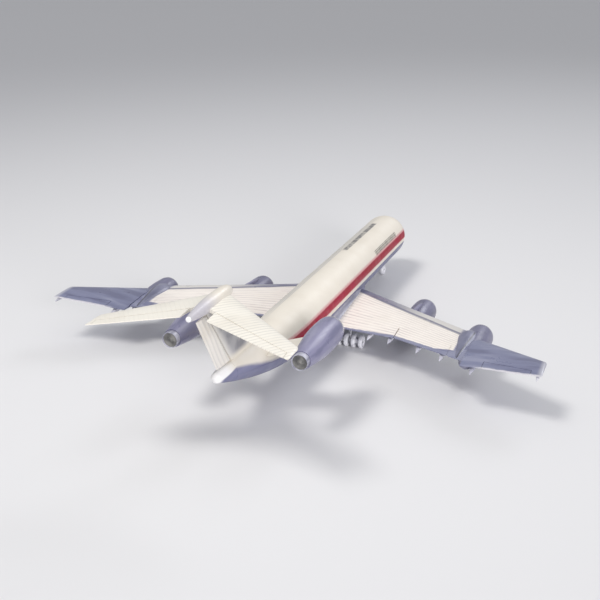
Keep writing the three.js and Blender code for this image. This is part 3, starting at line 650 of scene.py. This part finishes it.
LIVERY, CREAM_PAINT, WHITE_PAINT, BELLY_PAINT = livery(), cream_paint(), white_paint(), belly_paint()
COWL_PAINT = grey_paint(
    "cowl_paint", (0.30, 0.295, 0.40), (0.235, 0.228, 0.345), (0.17, 0.168, 0.27), (3, 0.45, 3), 0.15)
POD_PAINT = grey_paint(
    "pod_paint", (0.21, 0.207, 0.30), (0.16, 0.158, 0.245), (0.115, 0.115, 0.185), (3, 0.45, 3), 0.1)
FILLET_PAINT = grey_paint(
    "fillet_paint", (0.42, 0.41, 0.47), (0.30, 0.30, 0.38), (0.2, 0.2, 0.27), (3, 0.4, 3))
TRACK_PAINT = grey_paint("track_paint", (0.72, 0.71, 0.76), (0.55, 0.55, 0.62), (0.36, 0.36, 0.44))
NOZZLE_PAINT = grey_paint("nozzle_paint", (0.60, 0.60, 0.67), (0.42, 0.42, 0.50), (0.24, 0.24, 0.31))
STUB_PAINT = grey_paint("stub_paint", (0.42, 0.42, 0.52), (0.30, 0.30, 0.40), (0.18, 0.18, 0.26))
WING_CREAM, FLAP_PAINT = wing_cream("wing_cream_paint"), wing_cream("flap_paint")
OUTER_PAINT, SADDLE_PAINT, LEADING_GREY = outer_wing_paint(), saddle_paint(), leading_grey()
TAIL_CREAM, FIN_GREY_AND_SHADOW, RUDDER_PAINT, BULLET_PAINT = tail_cream(), fin_grey_and_shadow(), rudder_paint(), bullet_paint()
CHROME = metal("ring_metal", (0.80, 0.80, 0.83), 0.2)
STEEL = metal("bare_steel", (0.50, 0.50, 0.52), 0.4, axis=(8, 1, 8))
FAN_METAL = metal("fan_metal", (0.30, 0.30, 0.33), 0.35)
SOOT, WHEEL = sooty(), tyre()
GLAZING = glassy("dark_glazing", (0.018, 0.021, 0.028), 0.08)
LENS = glassy("white_lens", (0.93, 0.93, 0.95), 0.12)
for inner_node in ("wing_spar", "nose_ballast"):
    frame["nodes"][inner_node].data.materials.clear()
    frame["nodes"][inner_node].data.materials.append(STEEL)

# ---- fuselage


def body_at(station):
    if station < NOSE_LENGTH:
        ahead = 1 - station / NOSE_LENGTH
        return RADIUS * sqrt(max(0.0, 1 - ahead * ahead)), AXIS_Z - NOSE_DROOP * ahead * ahead
    if station < TAPER_START:
        return RADIUS, AXIS_Z
    along = (station - TAPER_START) / (LENGTH - TAPER_START)
    r = RADIUS - (RADIUS - TAIL_RADIUS) * along ** 1.6
    return r, AXIS_Z + RADIUS - r - TAIL_DROP * along


def body_point(station, degrees, inset=0.0):
    r, z = body_at(station)
    a = radians(degrees)
    return ((r - inset) * cos(a), y_of(station), z + (r - inset) * sin(a))


shell_stations = [NOSE_CONE + 0.3 + (NOSE_LENGTH - NOSE_CONE - 0.3) * (i / 16) ** 1.4 for i in range(17)]
shell_stations += steps(NOSE_LENGTH, TAPER_START, 24)[1:] + steps(TAPER_START, SHELL_END, 30)[1:]


def body_shell(name, start, end, segments):
    angles = steps(start, end, segments)
    loops = [
        [body_point(s, a) for a in angles] + [body_point(s, a, WALL) for a in reversed(angles)]
        for s in shell_stations
    ]
    return raw(name, Form().loft(loops))


PANE_LOW, PANE_HIGH, PANE_FRONT, PANE_WIDTH, PANE_LEAN = AXIS_Z + 9.5, 76.0, 7.5, 5.0, 6.5


def glazing_band(grow):
    low, front, rear = PANE_LOW - grow, PANE_FRONT - grow, PANE_FRONT + PANE_WIDTH + grow
    outline = [(front, low), (rear, low), (rear + PANE_LEAN, PANE_HIGH), (front + PANE_LEAN, PANE_HIGH)]
    return raw("band", prism(outline, -40, 40))


def pane_edge(degrees, start):
    """The station where an edge of the windscreen band crosses a line along the nose."""
    low, high = NOSE_CONE, NOSE_LENGTH
    for _ in range(40):
        s = (low + high) / 2
        z = body_point(s, degrees)[2]
        edge = start + PANE_LEAN * (z - PANE_LOW) / (PANE_HIGH - PANE_LOW)
        low, high = (s, high) if s < edge else (low, s)
    return s


upper = body_shell("fuselage_upper_skin", -SEAM + 0.4, 180 + SEAM - 0.4, 72)
pane = body_shell("windscreen_glazing", -SEAM + 0.4, 180 + SEAM - 0.4, 72)
carve(pane, glazing_band(0), "INTERSECT")
carve(upper, glazing_band(0.25))
dress(upper, LIVERY, ["fuselage_upper_shell"])
dress(pane, GLAZING, ["windscreen"])
posts = Form()
for angle in (90, 112, 68, 132, 48):
    first, last = pane_edge(angle, PANE_FRONT), pane_edge(angle, PANE_FRONT + PANE_WIDTH)
    width = 2.0
    rows = [lerp(first - 0.3, last + 0.3, t / 6) for t in range(7)]
    posts.loft([
        [body_point(s, angle - width, 0.5), body_point(s, angle - width, -0.12),
         body_point(s, angle + width, -0.12), body_point(s, angle + width, 0.5)] for s in rows
    ])
dress(raw("windscreen_posts", posts), CREAM_PAINT, slot="cream_paint")

lower = body_shell("fuselage_lower_skin", 180 + SEAM + 0.4, 360 - SEAM - 0.4, 64)
well = raw("well", Form().turn([(0, 10), (2.3, 10), (2.3, 34), (0, 34)], along_z(0, NOSE_GEAR), 32))
dress(carve(lower, well), BELLY_PAINT, ["fuselage_lower_shell"])

full_turn = [360 * i / 72 for i in range(72)]
nose_rings = [[body_point(NOSE_CONE * t * t, a) for a in full_turn] for t in steps(0.06, 1, 14)]
dress(raw("nose_cap", Form().loft(nose_rings)), LIVERY, ["nose_cone"])

tail_rings = [[body_point(s, a) for a in full_turn] for s in steps(SHELL_END + 0.3, LENGTH, 8)]
tail_z = body_at(LENGTH)[1]
for t in (0.2, 0.4, 0.6, 0.75, 0.87, 0.95, 0.99):
    r = TAIL_RADIUS * sqrt(1 - t * t)
    tail_rings.append([
        (r * cos(radians(a)), y_of(LENGTH + 4 * t), tail_z + r * sin(radians(a)))
        for a in full_turn
    ])
dress(raw("tail_cap", Form().loft(tail_rings)), LIVERY, ["tail_cone"])


def keel():
    """The fairing below the fuselage and between the wing roots."""
    shape = [(156, 10.5, 21.5), (168, 17.2, 20.2), (182, 22.3, 19.1), (191.6, 24.1, 18.8), (220, 24.3, 18.62),
             (300, 24.3, 18.62), (312, 22.6, 18.9), (324, 18.5, 19.8), (336, 11.5, 21)]
    loops = []
    for s in (156, 159, 162, 165, 168, 172, 177, 182, 187, 191.6, 197, 205,
              220, 240, 260, 280, 300, 306, 312, 318, 324, 330, 336):
        for (s0, w0, b0), (s1, w1, b1) in zip(shape, shape[1:]):
            if s0 <= s <= s1:
                t = (s - s0) / (s1 - s0)
                width, bottom = lerp(w0, w1, t), lerp(b0, b1, t)
        corner = min(7, width / 2)
        side = [(width, 39)] + [
            (width - corner + corner * cos(a), bottom + corner - corner * sin(a))
            for a in steps(0, pi / 2, 8)
        ]
        loop = side + [(-x, z) for x, z in reversed(side)]
        loops.append([(x, y_of(s), z) for x, z in loop])
    return raw("keel_fairing", Form().loft(loops))


dress(keel(), BELLY_PAINT, ["belly_fairing"], sharp=50)

# ---- lifting surfaces


def half_thickness(u, chord, ratio):
    u = min(max(u, 0.0), 1.0)
    naca = 0.2969 * sqrt(u) - 0.126 * u - 0.3516 * u**2 + 0.2843 * u**3 - 0.1015 * u**4
    return 5 * ratio * chord * naca + 0.35 * u


def section(front, rear, ratio, start, end, place, nose=None):
    """A closed loop round the part of an aerofoil between two stations.

    With a nose, the front face is rounded: it reaches that share of its half height aft.
    """
    chord, n = rear - front, 22

    def high(s):
        return half_thickness((s - front) / chord, chord, ratio)

    if start <= front + 1e-6:
        ss = [front + (end - front) * (i / n) ** 2 for i in range(n + 1)]
        top = [place(s, high(s)) for s in reversed(ss)]
        return top + [place(s, -high(s)) for s in ss[1:]]
    h = high(start)
    first = start + (nose * h if nose else 0)
    ss = [lerp(first, end, i / n) for i in range(n + 1)]
    top = [place(s, high(s)) for s in reversed(ss)]
    bottom = [place(s, -high(s)) for s in ss]
    if not nose:
        return top + bottom
    h = high(first)
    arc = [pi / 2 - pi * k / 8 for k in range(1, 8)]
    middle = [place(start + (first - start) * (1 - cos(a)), h * sin(a)) for a in arc]
    return top + middle + bottom


def inner_rear(x):
    if x < KINK_X:
        return linear(x, ROOT_X, KINK_X, ROOT_REAR, KINK_REAR)
    return linear(x, KINK_X, POD_X, KINK_REAR, POD_REAR)


def outer_front(x):
    return linear(x, POD_X, TIP_X, *OUTER_FRONT)


def wing_ratio(x):
    if x < POD_X:
        return linear(x, ROOT_X, POD_X, 0.11, 0.086)
    return linear(x, POD_X, TIP_X, 0.086, 0.09)


def across(x, level):
    """Places a section's points in the upright plane at a distance out, about that height."""
    return lambda s, h: (x, y_of(s), level + h)


def wing_part(form, xs, front, rear, start, end, nose=None):
    return form.loft([
        section(front(x), rear(x), wing_ratio(x), start(x), end(x), across(x, wing_z(x)), nose) for x in xs
    ])


inner_engine = dict(name="inner", radius=14, exit=7.5, length=66, x=100, z=20, station=195.5)
outer_engine = dict(name="outer", radius=13.8, exit=7.5, length=69, x=POD_X, z=35.4, station=283.5)
rear_engine = dict(name="rear", radius=14.4, exit=7.9, length=79, x=63.8, z=76.3, station=421)


def cowl_outside(e, grow=0.0):
    r, length, s = e["radius"], e["length"], e["station"]
    points = [(0.9 * r, s + 0.012 * length), (0.97 * r, s + 0.08 * length), (r, s + 0.22 * length),
              (r, s + 0.42 * length), (0.92 * r, s + 0.62 * length), (0.76 * r, s + 0.83 * length),
              (e["exit"] + 0.9, s + length)]
    return [(radius + grow, station) for radius, station in curve_through(points, 6)]


def pod_cutter():
    e = outer_engine
    profile = [(0, e["station"] - 1)] + cowl_outside(e, GAP)
    profile += [(e["exit"] + 1.2, e["station"] + e["length"] + 7), (0, e["station"] + e["length"] + 7)]
    return raw("cutter", Form().turn(profile, along_y(e["x"], e["z"]), 64))


def flap_hinge(x):
    return inner_rear(x) - FLAP_CHORD


FLAP_END = 165.4
inner_xs = steps(19, KINK_X, 8) + steps(KINK_X, FLAP_END, 16)[1:]
last_xs = steps(FLAP_END, POD_X - GAP / 2, 3)

strip = wing_part(Form(), inner_xs + last_xs[1:], wing_front, inner_rear, wing_front,
                  lambda x: wing_front(x) + STRIP)
pair("leading_edge_skin", carve(raw("strip", strip), pod_cutter()), LEADING_GREY, ["leading_edge"], sharp=50)

panel = wing_part(Form(), inner_xs + last_xs[1:], wing_front, inner_rear,
                  lambda x: wing_front(x) + STRIP + GAP, lambda x: flap_hinge(x) - SLIT)
rear_panel = wing_part(Form(), last_xs, wing_front, inner_rear,
                       lambda x: flap_hinge(x) - GAP - 4, inner_rear)
panel_piece = carve(raw("panel", panel), raw("rear_panel", rear_panel), "UNION")
pair("inner_wing_skin", carve(panel_piece, pod_cutter()), WING_CREAM, ["inner_wing"], sharp=50)


def aileron_hinge(x):
    return outer_rear(x) - linear(x, *AILERON_X, 13, 9)


def outer_panel():
    a, b = AILERON_X[0] - END_GAP, AILERON_X[1] + END_GAP
    form = wing_part(Form(), steps(POD_X + GAP / 2, a, 4), outer_front, outer_rear, outer_front, outer_rear)
    wing_part(form, steps(a, b, 8), outer_front, outer_rear, outer_front,
              lambda x: aileron_hinge(x) - SLIT)
    loops = [(x, 1.0, 0.0) for x in (b, 253, 256, TIP_X)]
    loops += [(TIP_X + d, f, back_step) for d, f, back_step in
              ((0.7, 0.9, 0.6), (1.3, 0.66, 1.6), (1.7, 0.36, 2.8), (1.85, 0.1, 3.6))]
    form.loft([
        section(outer_front(x) + step, outer_rear(x), wing_ratio(x) * f, outer_front(x) + step, outer_rear(x),
                across(x, wing_z(x)))
        for x, f, step in loops
    ])
    return raw("outer_panel", form)


pair("outer_wing_skin", carve(outer_panel(), pod_cutter()), OUTER_PAINT, ["outer_wing"], sharp=50)


def track(form, x, rear, size=1.0):
    """A flap-track fairing: a narrow canoe that hangs below the trailing edge."""
    points = [(0, 0), (0.5, 0.02), (0.85, 0.09), (1, 0.24), (0.93, 0.45), (0.62, 0.7), (0.25, 0.92), (0, 1)]
    profile = [(4.1 * size * r, t) for r, t in curve_through(points, 4)]

    def place(a, b, t):
        drop = 1.4 + 3.2 * t
        tall = b if b < 0 else 0.3 * b
        return (x + 0.72 * a, y_of(rear + size * lerp(-17.5, 8, t)), wing_z(x) + tall - size * drop)

    return form.turn(profile, place, 28)


for which, span, places in (("inner", INNER_FLAP_X, (72, 95.8)), ("outer", OUTER_FLAP_X, (130.5, 158))):
    flap = wing_part(Form(), steps(*span, 10), wing_front, inner_rear, flap_hinge, inner_rear)
    pair(f"{which}_flap_skin", flap, FLAP_PAINT, [f"{which}_flap"], f"{which}_flap", sharp=50)
    canoes = Form()
    for x in places:
        track(canoes, x, inner_rear(x))
    pair(f"{which}_flap_tracks", canoes, TRACK_PAINT, body=f"{which}_flap")



def wing_top(x, s):
    chord = inner_rear(x) - wing_front(x)
    return wing_z(x) + half_thickness((s - wing_front(x)) / chord, chord, wing_ratio(x))


cover_loops = []
for x in (163.85, 165.6):
    ss = steps(flap_hinge(x) - 2, inner_rear(x) - 0.2, 10)
    upper_edge = [(x, y_of(s), wing_top(x, s) - 0.05) for s in ss]
    cover_loops.append(upper_edge + [(x, y_of(s), wing_top(x, s) - 0.4) for s in reversed(ss)])
cover = Form().loft(cover_loops)
pair("flap_end_cover", cover, FLAP_PAINT, slot="cream_paint")
pair("outboard_track_fairing", track(Form(), 193.5, outer_rear(193.5)), TRACK_PAINT)
pair("wing_tip_fairing", track(Form(), TIP_X - 2, outer_rear(TIP_X), 0.62), TRACK_PAINT)


def saddle():
    """The teardrop on top of the wing, inboard of the outer engine."""
    x = POD_X - 6.5
    base = wing_z(x) - 0.5
    rows = [(300, 0.3, 0.3), (302, 3, 3), (308, 8, 5.6), (316, 10.5, 6.7), (330, 9.5, 5.8), (348, 6.2, 4),
            (366, 3, 2), (372, 0.6, 0.9)]
    smooth = curve_through([(w, s) for s, w, _ in rows], 5)
    tall = curve_through([(h, s) for s, _, h in rows], 5)
    return raw("saddle", Form().loft([
        [(x + w * cos(a), y_of(s), base + h * sin(a)) for a in steps(0, pi, 20)]
        for (w, s), (h, _) in zip(smooth, tall)
    ]))


pair("overwing_fairing", saddle(), SADDLE_PAINT, sharp=50)

aileron = wing_part(Form(), steps(*AILERON_X, 8), outer_front, outer_rear, aileron_hinge, outer_rear, 0.6)
pair("aileron_skin", aileron, OUTER_PAINT, ["aileron"], "aileron", sharp=50)


def root_fillet():
    """The grey wedge that fairs the wing into the fuselage side; it widens towards the rear."""
    front, rear, at_x = 194, 318, 27
    loops = []
    for s in steps(front, rear, 34):
        t = (s - front) / (rear - front)
        swell = min(1, (s - front) / 30) * min(1, (rear - s) / 14 + 0.15)
        reach, rise = lerp(1.2, 8, t) * swell + 0.5, lerp(2, 8, t) * swell + 0.5
        top = wing_top(at_x, s)
        x0 = sqrt(RADIUS**2 - (top + rise - AXIS_Z) ** 2) - 0.15
        outer = x0 + reach
        curve = [(x0 + reach * (1 - cos(a)), top + rise * (1 - sin(a)) - 0.12) for a in steps(0, pi / 2, 8)]
        loop = curve + [(outer, top - 2.4), (x0 - 3, top - 2.4), (x0 - 3, top + rise)]
        loops.append([(x, y_of(s), z) for x, z in loop])
    return raw("root_fillet", Form().loft(loops))


pair("wing_root_fillet", root_fillet(), FILLET_PAINT, sharp=60)

# ---- tail


def fin_front(z):
    return linear(z, *FIN_Z, *FIN_FRONT)


def fin_rear(z):
    return linear(z, *FIN_Z, *FIN_REAR)


def rudder_hinge(z):
    return fin_rear(z) - linear(z, *RUDDER_Z, 25, 18)


def fin_part(zs, start, end, nose=None):
    loops = []
    for z in zs:
        chord = fin_rear(z) - fin_front(z)
        ratio = linear(z, *FIN_Z, 7, 4.6) / chord
        loops.append(section(fin_front(z), fin_rear(z), ratio, start(z), end(z),
                             lambda s, h, z=z: (h, y_of(s), z), nose))
    return Form().loft(loops)


fin_piece = raw("fin_skin", fin_part(steps(66.5, 136, 16), fin_front, lambda z: rudder_hinge(z) - GAP))
dress(fin_piece, FIN_GREY_AND_SHADOW, ["fin"], sharp=50)
rudder_piece = raw("rudder_skin", fin_part(steps(*RUDDER_Z, 12), rudder_hinge, fin_rear, 1.0))
dress(rudder_piece, RUDDER_PAINT, ["rudder"], "rudder", sharp=50)

dorsal = Form()
dorsal_loops = []
for t in steps(0, 1, 20):
    s = lerp(424, 500, t)
    crown = sum(body_at(s))
    width, rise = 0.5 + 2.6 * t, 9.5 * t**1.7
    dorsal_loops.append([
        (width * cos(a), y_of(s), crown - 1.6 + (rise + 1.6) * sin(a)) for a in steps(0, pi, 10)
    ] + [(-width, y_of(s), crown - 3), (width, y_of(s), crown - 3)])
dress(raw("dorsal_fairing", dorsal.loft(dorsal_loops)), CREAM_PAINT, slot="cream_paint", sharp=60)

bullet_points = [(0, 512), (3.3, 513.5), (5.5, 519), (6.5, 530), (6.5, 554), (4.7, 576), (2.9, 589.2),
                 (2.7, 590)]
bullet = Form().turn(curve_through(bullet_points, 7) + [(0, 590)], along_y(0, BULLET_Z), 56)
dress(raw("bullet_fairing", bullet), BULLET_PAINT, ["fin_bullet"], sharp=50)
lens = [(0, 590.2)] + [(2.55 * sin(a), 591 - 2.4 * cos(a)) for a in steps(pi / 3, pi, 14)]
dress(raw("tail_lamp", Form().turn(lens, along_y(0, BULLET_Z), 40)), LENS, ["tail_light"])


def tail_line(inner, outer):
    return lambda x: linear(x, 3, 89.5, inner, outer)


tail_height, tail_front, tail_rear = tail_line(137.6, 123.8), tail_line(521, 577), tail_line(580.5, 602)


def elevator_hinge(x):
    return tail_rear(x) - linear(x, *ELEVATOR_X, 17, 8.5)


def tail_part(form, xs, start, end, nose=None):
    return form.loft([
        section(tail_front(x), tail_rear(x), 0.085, start(x), end(x), across(x, tail_height(x)), nose)
        for x in xs
    ])


TIP_START = ELEVATOR_X[1] + END_GAP
tailplane = tail_part(Form(), steps(2, TIP_START, 14), tail_front, lambda x: elevator_hinge(x) - GAP)
tip = [(TIP_START, 1, 0), (89, 1, 0), (89.8, 0.85, 1), (90.4, 0.5, 2.6), (90.7, 0.12, 4)]
tailplane.loft([
    section(tail_front(x) + step, tail_rear(x) - 0.4, 0.085 * f, tail_front(x) + step, tail_rear(x) - 0.4,
            across(x, tail_height(x)))
    for x, f, step in tip
])
pair("tailplane_skin", tailplane, TAIL_CREAM, ["tailplane"], sharp=50)
elevator = tail_part(Form(), steps(*ELEVATOR_X, 12), elevator_hinge, tail_rear, 0.6)
pair("elevator_skin", elevator, TAIL_CREAM, ["elevator"], "elevator", sharp=50)

# ---- engines


def engine(e):
    name, r, s, x, z, length = (e[key] for key in ("name", "radius", "station", "x", "z", "length"))
    end, place = s + length, along_y(x, z)
    outside = cowl_outside(e)
    duct = [(e["exit"] + 0.1, end - 0.2), (e["exit"] + 0.1, s + 0.72 * length), (0.81 * r, s + 0.5 * length),
            (0.81 * r, s + 0.14 * length), (0.79 * r, s + 0.06 * length)]
    skin = Form().turn(outside[1:] + duct, place, 72, closed=True)
    at_rear = name == "rear"
    pair(f"{name}_cowl_skin", skin, COWL_PAINT if at_rear else POD_PAINT, [f"{name}_cowl"], sharp=48)

    lip = [(0.79 * r, s + 0.062 * length)]
    lip += [(0.845 * r - 0.075 * r * cos(a), s + 2.1 - 2.1 * sin(a)) for a in steps(0.15, pi - 0.15, 12)]
    lip += [(0.955 * r + 0.05, s + 0.062 * length)]
    lip_ring = Form().turn(lip, place, 72, closed=True)
    pair(f"{name}_intake_lip", lip_ring, CHROME, sharp=50)

    spinner, tip_r, hub = s + 12, 0.81 * r - 0.7, 0.3 * r
    cone = [(0, spinner - 7), (hub * 0.62, spinner - 4.6), (hub, spinner), (hub, spinner + 4)]
    nose = curve_through(cone, 6)
    rotor = Form().turn(nose + [(1.5, spinner + 4), (1.5, spinner + 9), (0, spinner + 9)], place, 40)
    blades = 18
    for k in range(blades):
        turn = 2 * pi * k / blades
        loops = []
        for t in steps(0, 1, 5):
            reach, twist = lerp(hub * 0.8, tip_r, t), radians(lerp(28, 58, t))
            chord, thick = lerp(3.6, 3.9, t), lerp(0.5, 0.28, t)
            loop = []
            for a in (2 * pi * i / 12 for i in range(12)):
                p, q = 0.5 * chord * cos(a), 0.5 * thick * sin(a) + 0.25 * sin(a / 2)
                side, aft = p * sin(twist) + q * cos(twist), p * cos(twist) - q * sin(twist)
                loop.append((x + reach * cos(turn) - side * sin(turn), y_of(spinner + 2 + aft),
                             z + reach * sin(turn) + side * cos(turn)))
            loops.append(loop)
        rotor.loft(loops)
    pair(f"{name}_fan_rotor", rotor, FAN_METAL, [f"{name}_fan"], f"{name}_fan_rotor", sharp=50)

    fill, out = 0.81 * r - 0.3, e["exit"] - 0.3
    core = [(0, spinner + 11.5), (1.7, spinner + 11.5), (1.7, spinner + 5.5), (fill, spinner + 5.5),
            (fill, s + 0.5 * length - 1), (out - 0.5, s + 0.7 * length - 1), (out - 0.5, end + 4.4)]
    core += [(lerp(out - 0.7, 2.7, t), end + 4.4 - 0.6 * sin(pi * t)) for t in steps(0, 1, 8)]
    core += curve_through([(2.5, end + 4.4), (1.9, end + 5.2), (0.9, end + 5.8), (0, end + 5.9)], 5)
    plug = Form().turn(core, place, 56)
    pair(f"{name}_core", plug, SOOT if at_rear else STUB_PAINT, [f"{name}_engine_core"])

    sleeve = [(out - 0.55, end + 3.6), (out - 0.55, end + 5.6), (out - 0.4, end + 5.9), (out - 0.1, end + 6)]
    sleeve += [(out + 0.05, end + 5.7), (out + 0.2, end + 4), (out + 0.25, end - 1.5), (out - 0.5, end - 1.5)]
    ring = Form().turn(sleeve, place, 64, closed=True)
    pair(f"{name}_nozzle_sleeve", ring, NOZZLE_PAINT, slot="engine_dark", sharp=60)


for one in (inner_engine, outer_engine, rear_engine):
    engine(one)


def pylon(name, levels, place, nodes, material):
    """A streamlined strut lofted through (reach, front, rear, half width)."""
    loops = []
    for reach, front, rear, half in levels:
        ss = [front + (rear - front) * (i / 14) ** 1.6 for i in range(15)]
        shares = [(s - front) / (rear - front) for s in ss]
        high = [half * 2.6 * (sqrt(t) - t**1.5) * 0.99 + 0.12 for t in shares]
        loops.append([place(reach, s, h) for s, h in zip(reversed(ss), reversed(high))]
                     + [place(reach, s, -h) for s, h in zip(ss[1:], high[1:])])
    pair(name, Form().loft(loops), material, nodes, sharp=50)


pylon("inner_pylon_skin",
      [(29, 212, 262, 1.7), (34.6, 213.5, 268, 1.7), (37.4, 226, 272, 1.7), (39.6, 247, 275, 1.5)],
      lambda z, s, h: (inner_engine["x"] + h, y_of(s), z), ["inner_pylon"], COWL_PAINT)
PYLON_Z = 53.5
tilt = math.atan2(rear_engine["z"] - PYLON_Z, rear_engine["x"])
pylon("rear_pylon_skin", [(d, 434, 470, 2.4) for d in (10, 32, 55)],
      lambda d, s, h: (d * cos(tilt) - h * sin(tilt), y_of(s), PYLON_Z + d * sin(tilt) + h * cos(tilt)),
      ["rear_pylon"], CREAM_PAINT)

# ---- landing gear


def wheel(form, x, station, radius, width, bore):
    """A moulded tyre and a dished hub, with a groove between them."""
    half = [(0.995, 0.3), (0.97, 0.62), (0.88, 0.9), (0.74, 1), (0.64, 0.9), (0.60, 0.62), (0.56, 0.45),
            (0.5, 0.62), (0.3, 0.5), ((bore + 0.7) / radius, 0.6), (bore / radius, 0.6)]
    ring = half + [(r, -d) for r, d in reversed(half)]
    profile = [(r * radius, x + d * width / 2) for r, d in ring]
    return form.turn(profile, along_x(station, radius), 48, closed=True)


nose_wheel = wheel(Form(), 4.4, NOSE_GEAR, NOSE_WHEEL_RADIUS, 4, 1.15)
pair("nose_wheel_tyre", nose_wheel, WHEEL, ["nose_wheel"], "nose_wheel", sharp=50)

for where, sign in (("inner", -1), ("outer", 1)):
    twin = Form()
    middle = MAIN_X + sign * SPACING
    for k in (-0.5, 0.5):
        wheel(twin, middle + k * SPACING, MAIN_STATION, MAIN_RADIUS, 4.8, 1.25)
    sleeve = [(1.25, middle - 4.1), (2.5, middle - 4.1), (2.5, middle + 4.1), (1.25, middle + 4.1)]
    twin.turn(sleeve, along_x(MAIN_STATION, MAIN_RADIUS), 32, closed=True)
    body = f"main_wheels_{where}"
    pair(f"{body}_tyres", twin, WHEEL, [body], body, sharp=50)


def post(form, x, station, profile, sides=32):
    form.turn(profile, along_z(x, station), sides)


def axle(form, middle, station, z, half, radius):
    form.turn([(0, middle - half), (radius * 0.8, middle - half), (radius, middle - half + 0.3),
               (radius, middle + half - 0.3), (radius * 0.8, middle + half), (0, middle + half)],
              along_x(station, z), 28)


def boss(form, middle, station, z, half, radius):
    form.turn([(0, middle - half), (radius, middle - half), (radius, middle + half), (0, middle + half)],
              along_x(station, z), 28)


leg = Form()
post(leg, MAIN_X, MAIN_STATION, [
    (0, MAIN_RADIUS), (1.25, MAIN_RADIUS), (1.25, 15.6), (1.45, 16.0), (1.45, 18.2),
    (2.05, 18.6), (2.05, 26.2), (2.3, 26.4), (2.3, 27.4), (0, 27.4),
])
axle(leg, MAIN_X, MAIN_STATION, MAIN_RADIUS, 14.6, 1.08)
boss(leg, MAIN_X, MAIN_STATION, MAIN_RADIUS, 1.35, 1.9)
rod = ((-0.8, -0.5), (0.8, -0.5), (0.8, 0.5), (-0.8, 0.5))
for ends in (((276.2, 25.4), (284.6, 17.4)), ((278.4, 25.4), (285.4, 18.6))):
    leg.loft([[(MAIN_X + dx, y_of(s + ds), z) for dx, ds in rod] for s, z in ends])
pad = [(275.5, 25.4), (288.6, 25.4), (288.6, 27.6), (275.5, 28.6)]
prism(pad, MAIN_X - 4.6, MAIN_X + 4.6, leg)
pair("main_gear_post", leg, CHROME, ["main_gear_leg"], bevel=0.12)

strut = Form()
post(strut, 0, NOSE_GEAR, [(1.25, 17), (2.0, 17.2), (2.0, 20.6), (1.75, 20.9), (1.75, 31), (1.25, 31)])
arm = ((45.2, 18.2), (46.8, 18.2), (46.8, 19.8), (45.2, 19.8))
for start, end in ((-5.6, -1.9), (1.9, 5.6)):
    prism(arm, start, end, strut)
dress(raw("nose_gear_post", strut), CHROME, ["nose_gear_strut"], bevel=0.1)
door = [(37.4, 23.4), (54.6, 23.4), (53.4, 15.6), (52.2, 14.6), (41.8, 14.6), (40.4, 15.6)]
pair("nose_gear_door", prism(door, 5.3, 6.3), WHITE_PAINT, slot="cream_paint", bevel=0.22)

fork = Form()
post(fork, 0, NOSE_GEAR, [
    (0, 25), (0.9, 25), (0.9, 16.6), (1.7, 16.4), (1.7, 12.4), (1.35, 12.1),
    (1.35, NOSE_WHEEL_RADIUS), (0, NOSE_WHEEL_RADIUS),
])
axle(fork, 0, NOSE_GEAR, NOSE_WHEEL_RADIUS, 6.3, 0.98)
boss(fork, 0, NOSE_GEAR, NOSE_WHEEL_RADIUS, 2.0, 1.6)
dress(raw("nose_gear_link", fork), CHROME, ["nose_gear_fork"], "nose_gear_fork", bevel=0.1)

# ---- stage and light

floor_mesh = bpy.data.meshes.new("floor")
floor_mesh.from_pydata([(-40, -40, 0), (40, -40, 0), (40, 40, 0), (-40, 40, 0)], [], [(0, 1, 2, 3)])
floor = add_object("floor", floor_mesh)
floor_paint = bpy.data.materials.new("floor_paint")
floor_paint.use_nodes = True
floor_shader = floor_paint.node_tree.nodes["Principled BSDF"]
floor_shader.inputs["Base Color"].default_value = (0.74, 0.74, 0.75, 1)
floor_shader.inputs["Roughness"].default_value = 0.9
floor_mesh.materials.append(floor_paint)

world = bpy.data.worlds.new("world")
bpy.context.scene.world = world
world.use_nodes = True
sky = world.node_tree.nodes["Background"]
sky.inputs["Color"].default_value = (0.90, 0.91, 0.95, 1)
sky.inputs["Strength"].default_value = 0.52


def lamp(name, place, size, power, colour):
    """A soft lamp that points at the middle of the model."""
    data = bpy.data.lights.new(name, "AREA")
    data.size, data.energy, data.color = size, power, colour
    data.spread = radians(60)
    light = add_object(name, data)
    light.location = place
    light.rotation_euler = (Vector((0, 0, 0.05)) - Vector(place)).to_track_quat("-Z", "Y").to_euler()


lamp("key", (-0.85, -1.25, 2.6), 0.85, 4.9, (1, 0.98, 0.94))
lamp("side", (2.3, -2.5, 1.0), 1.2, 8.4, (1, 0.98, 0.99))
lamp("rim", (0.8, 2.8, 2.2), 1.5, 3, (0.93, 0.95, 1))
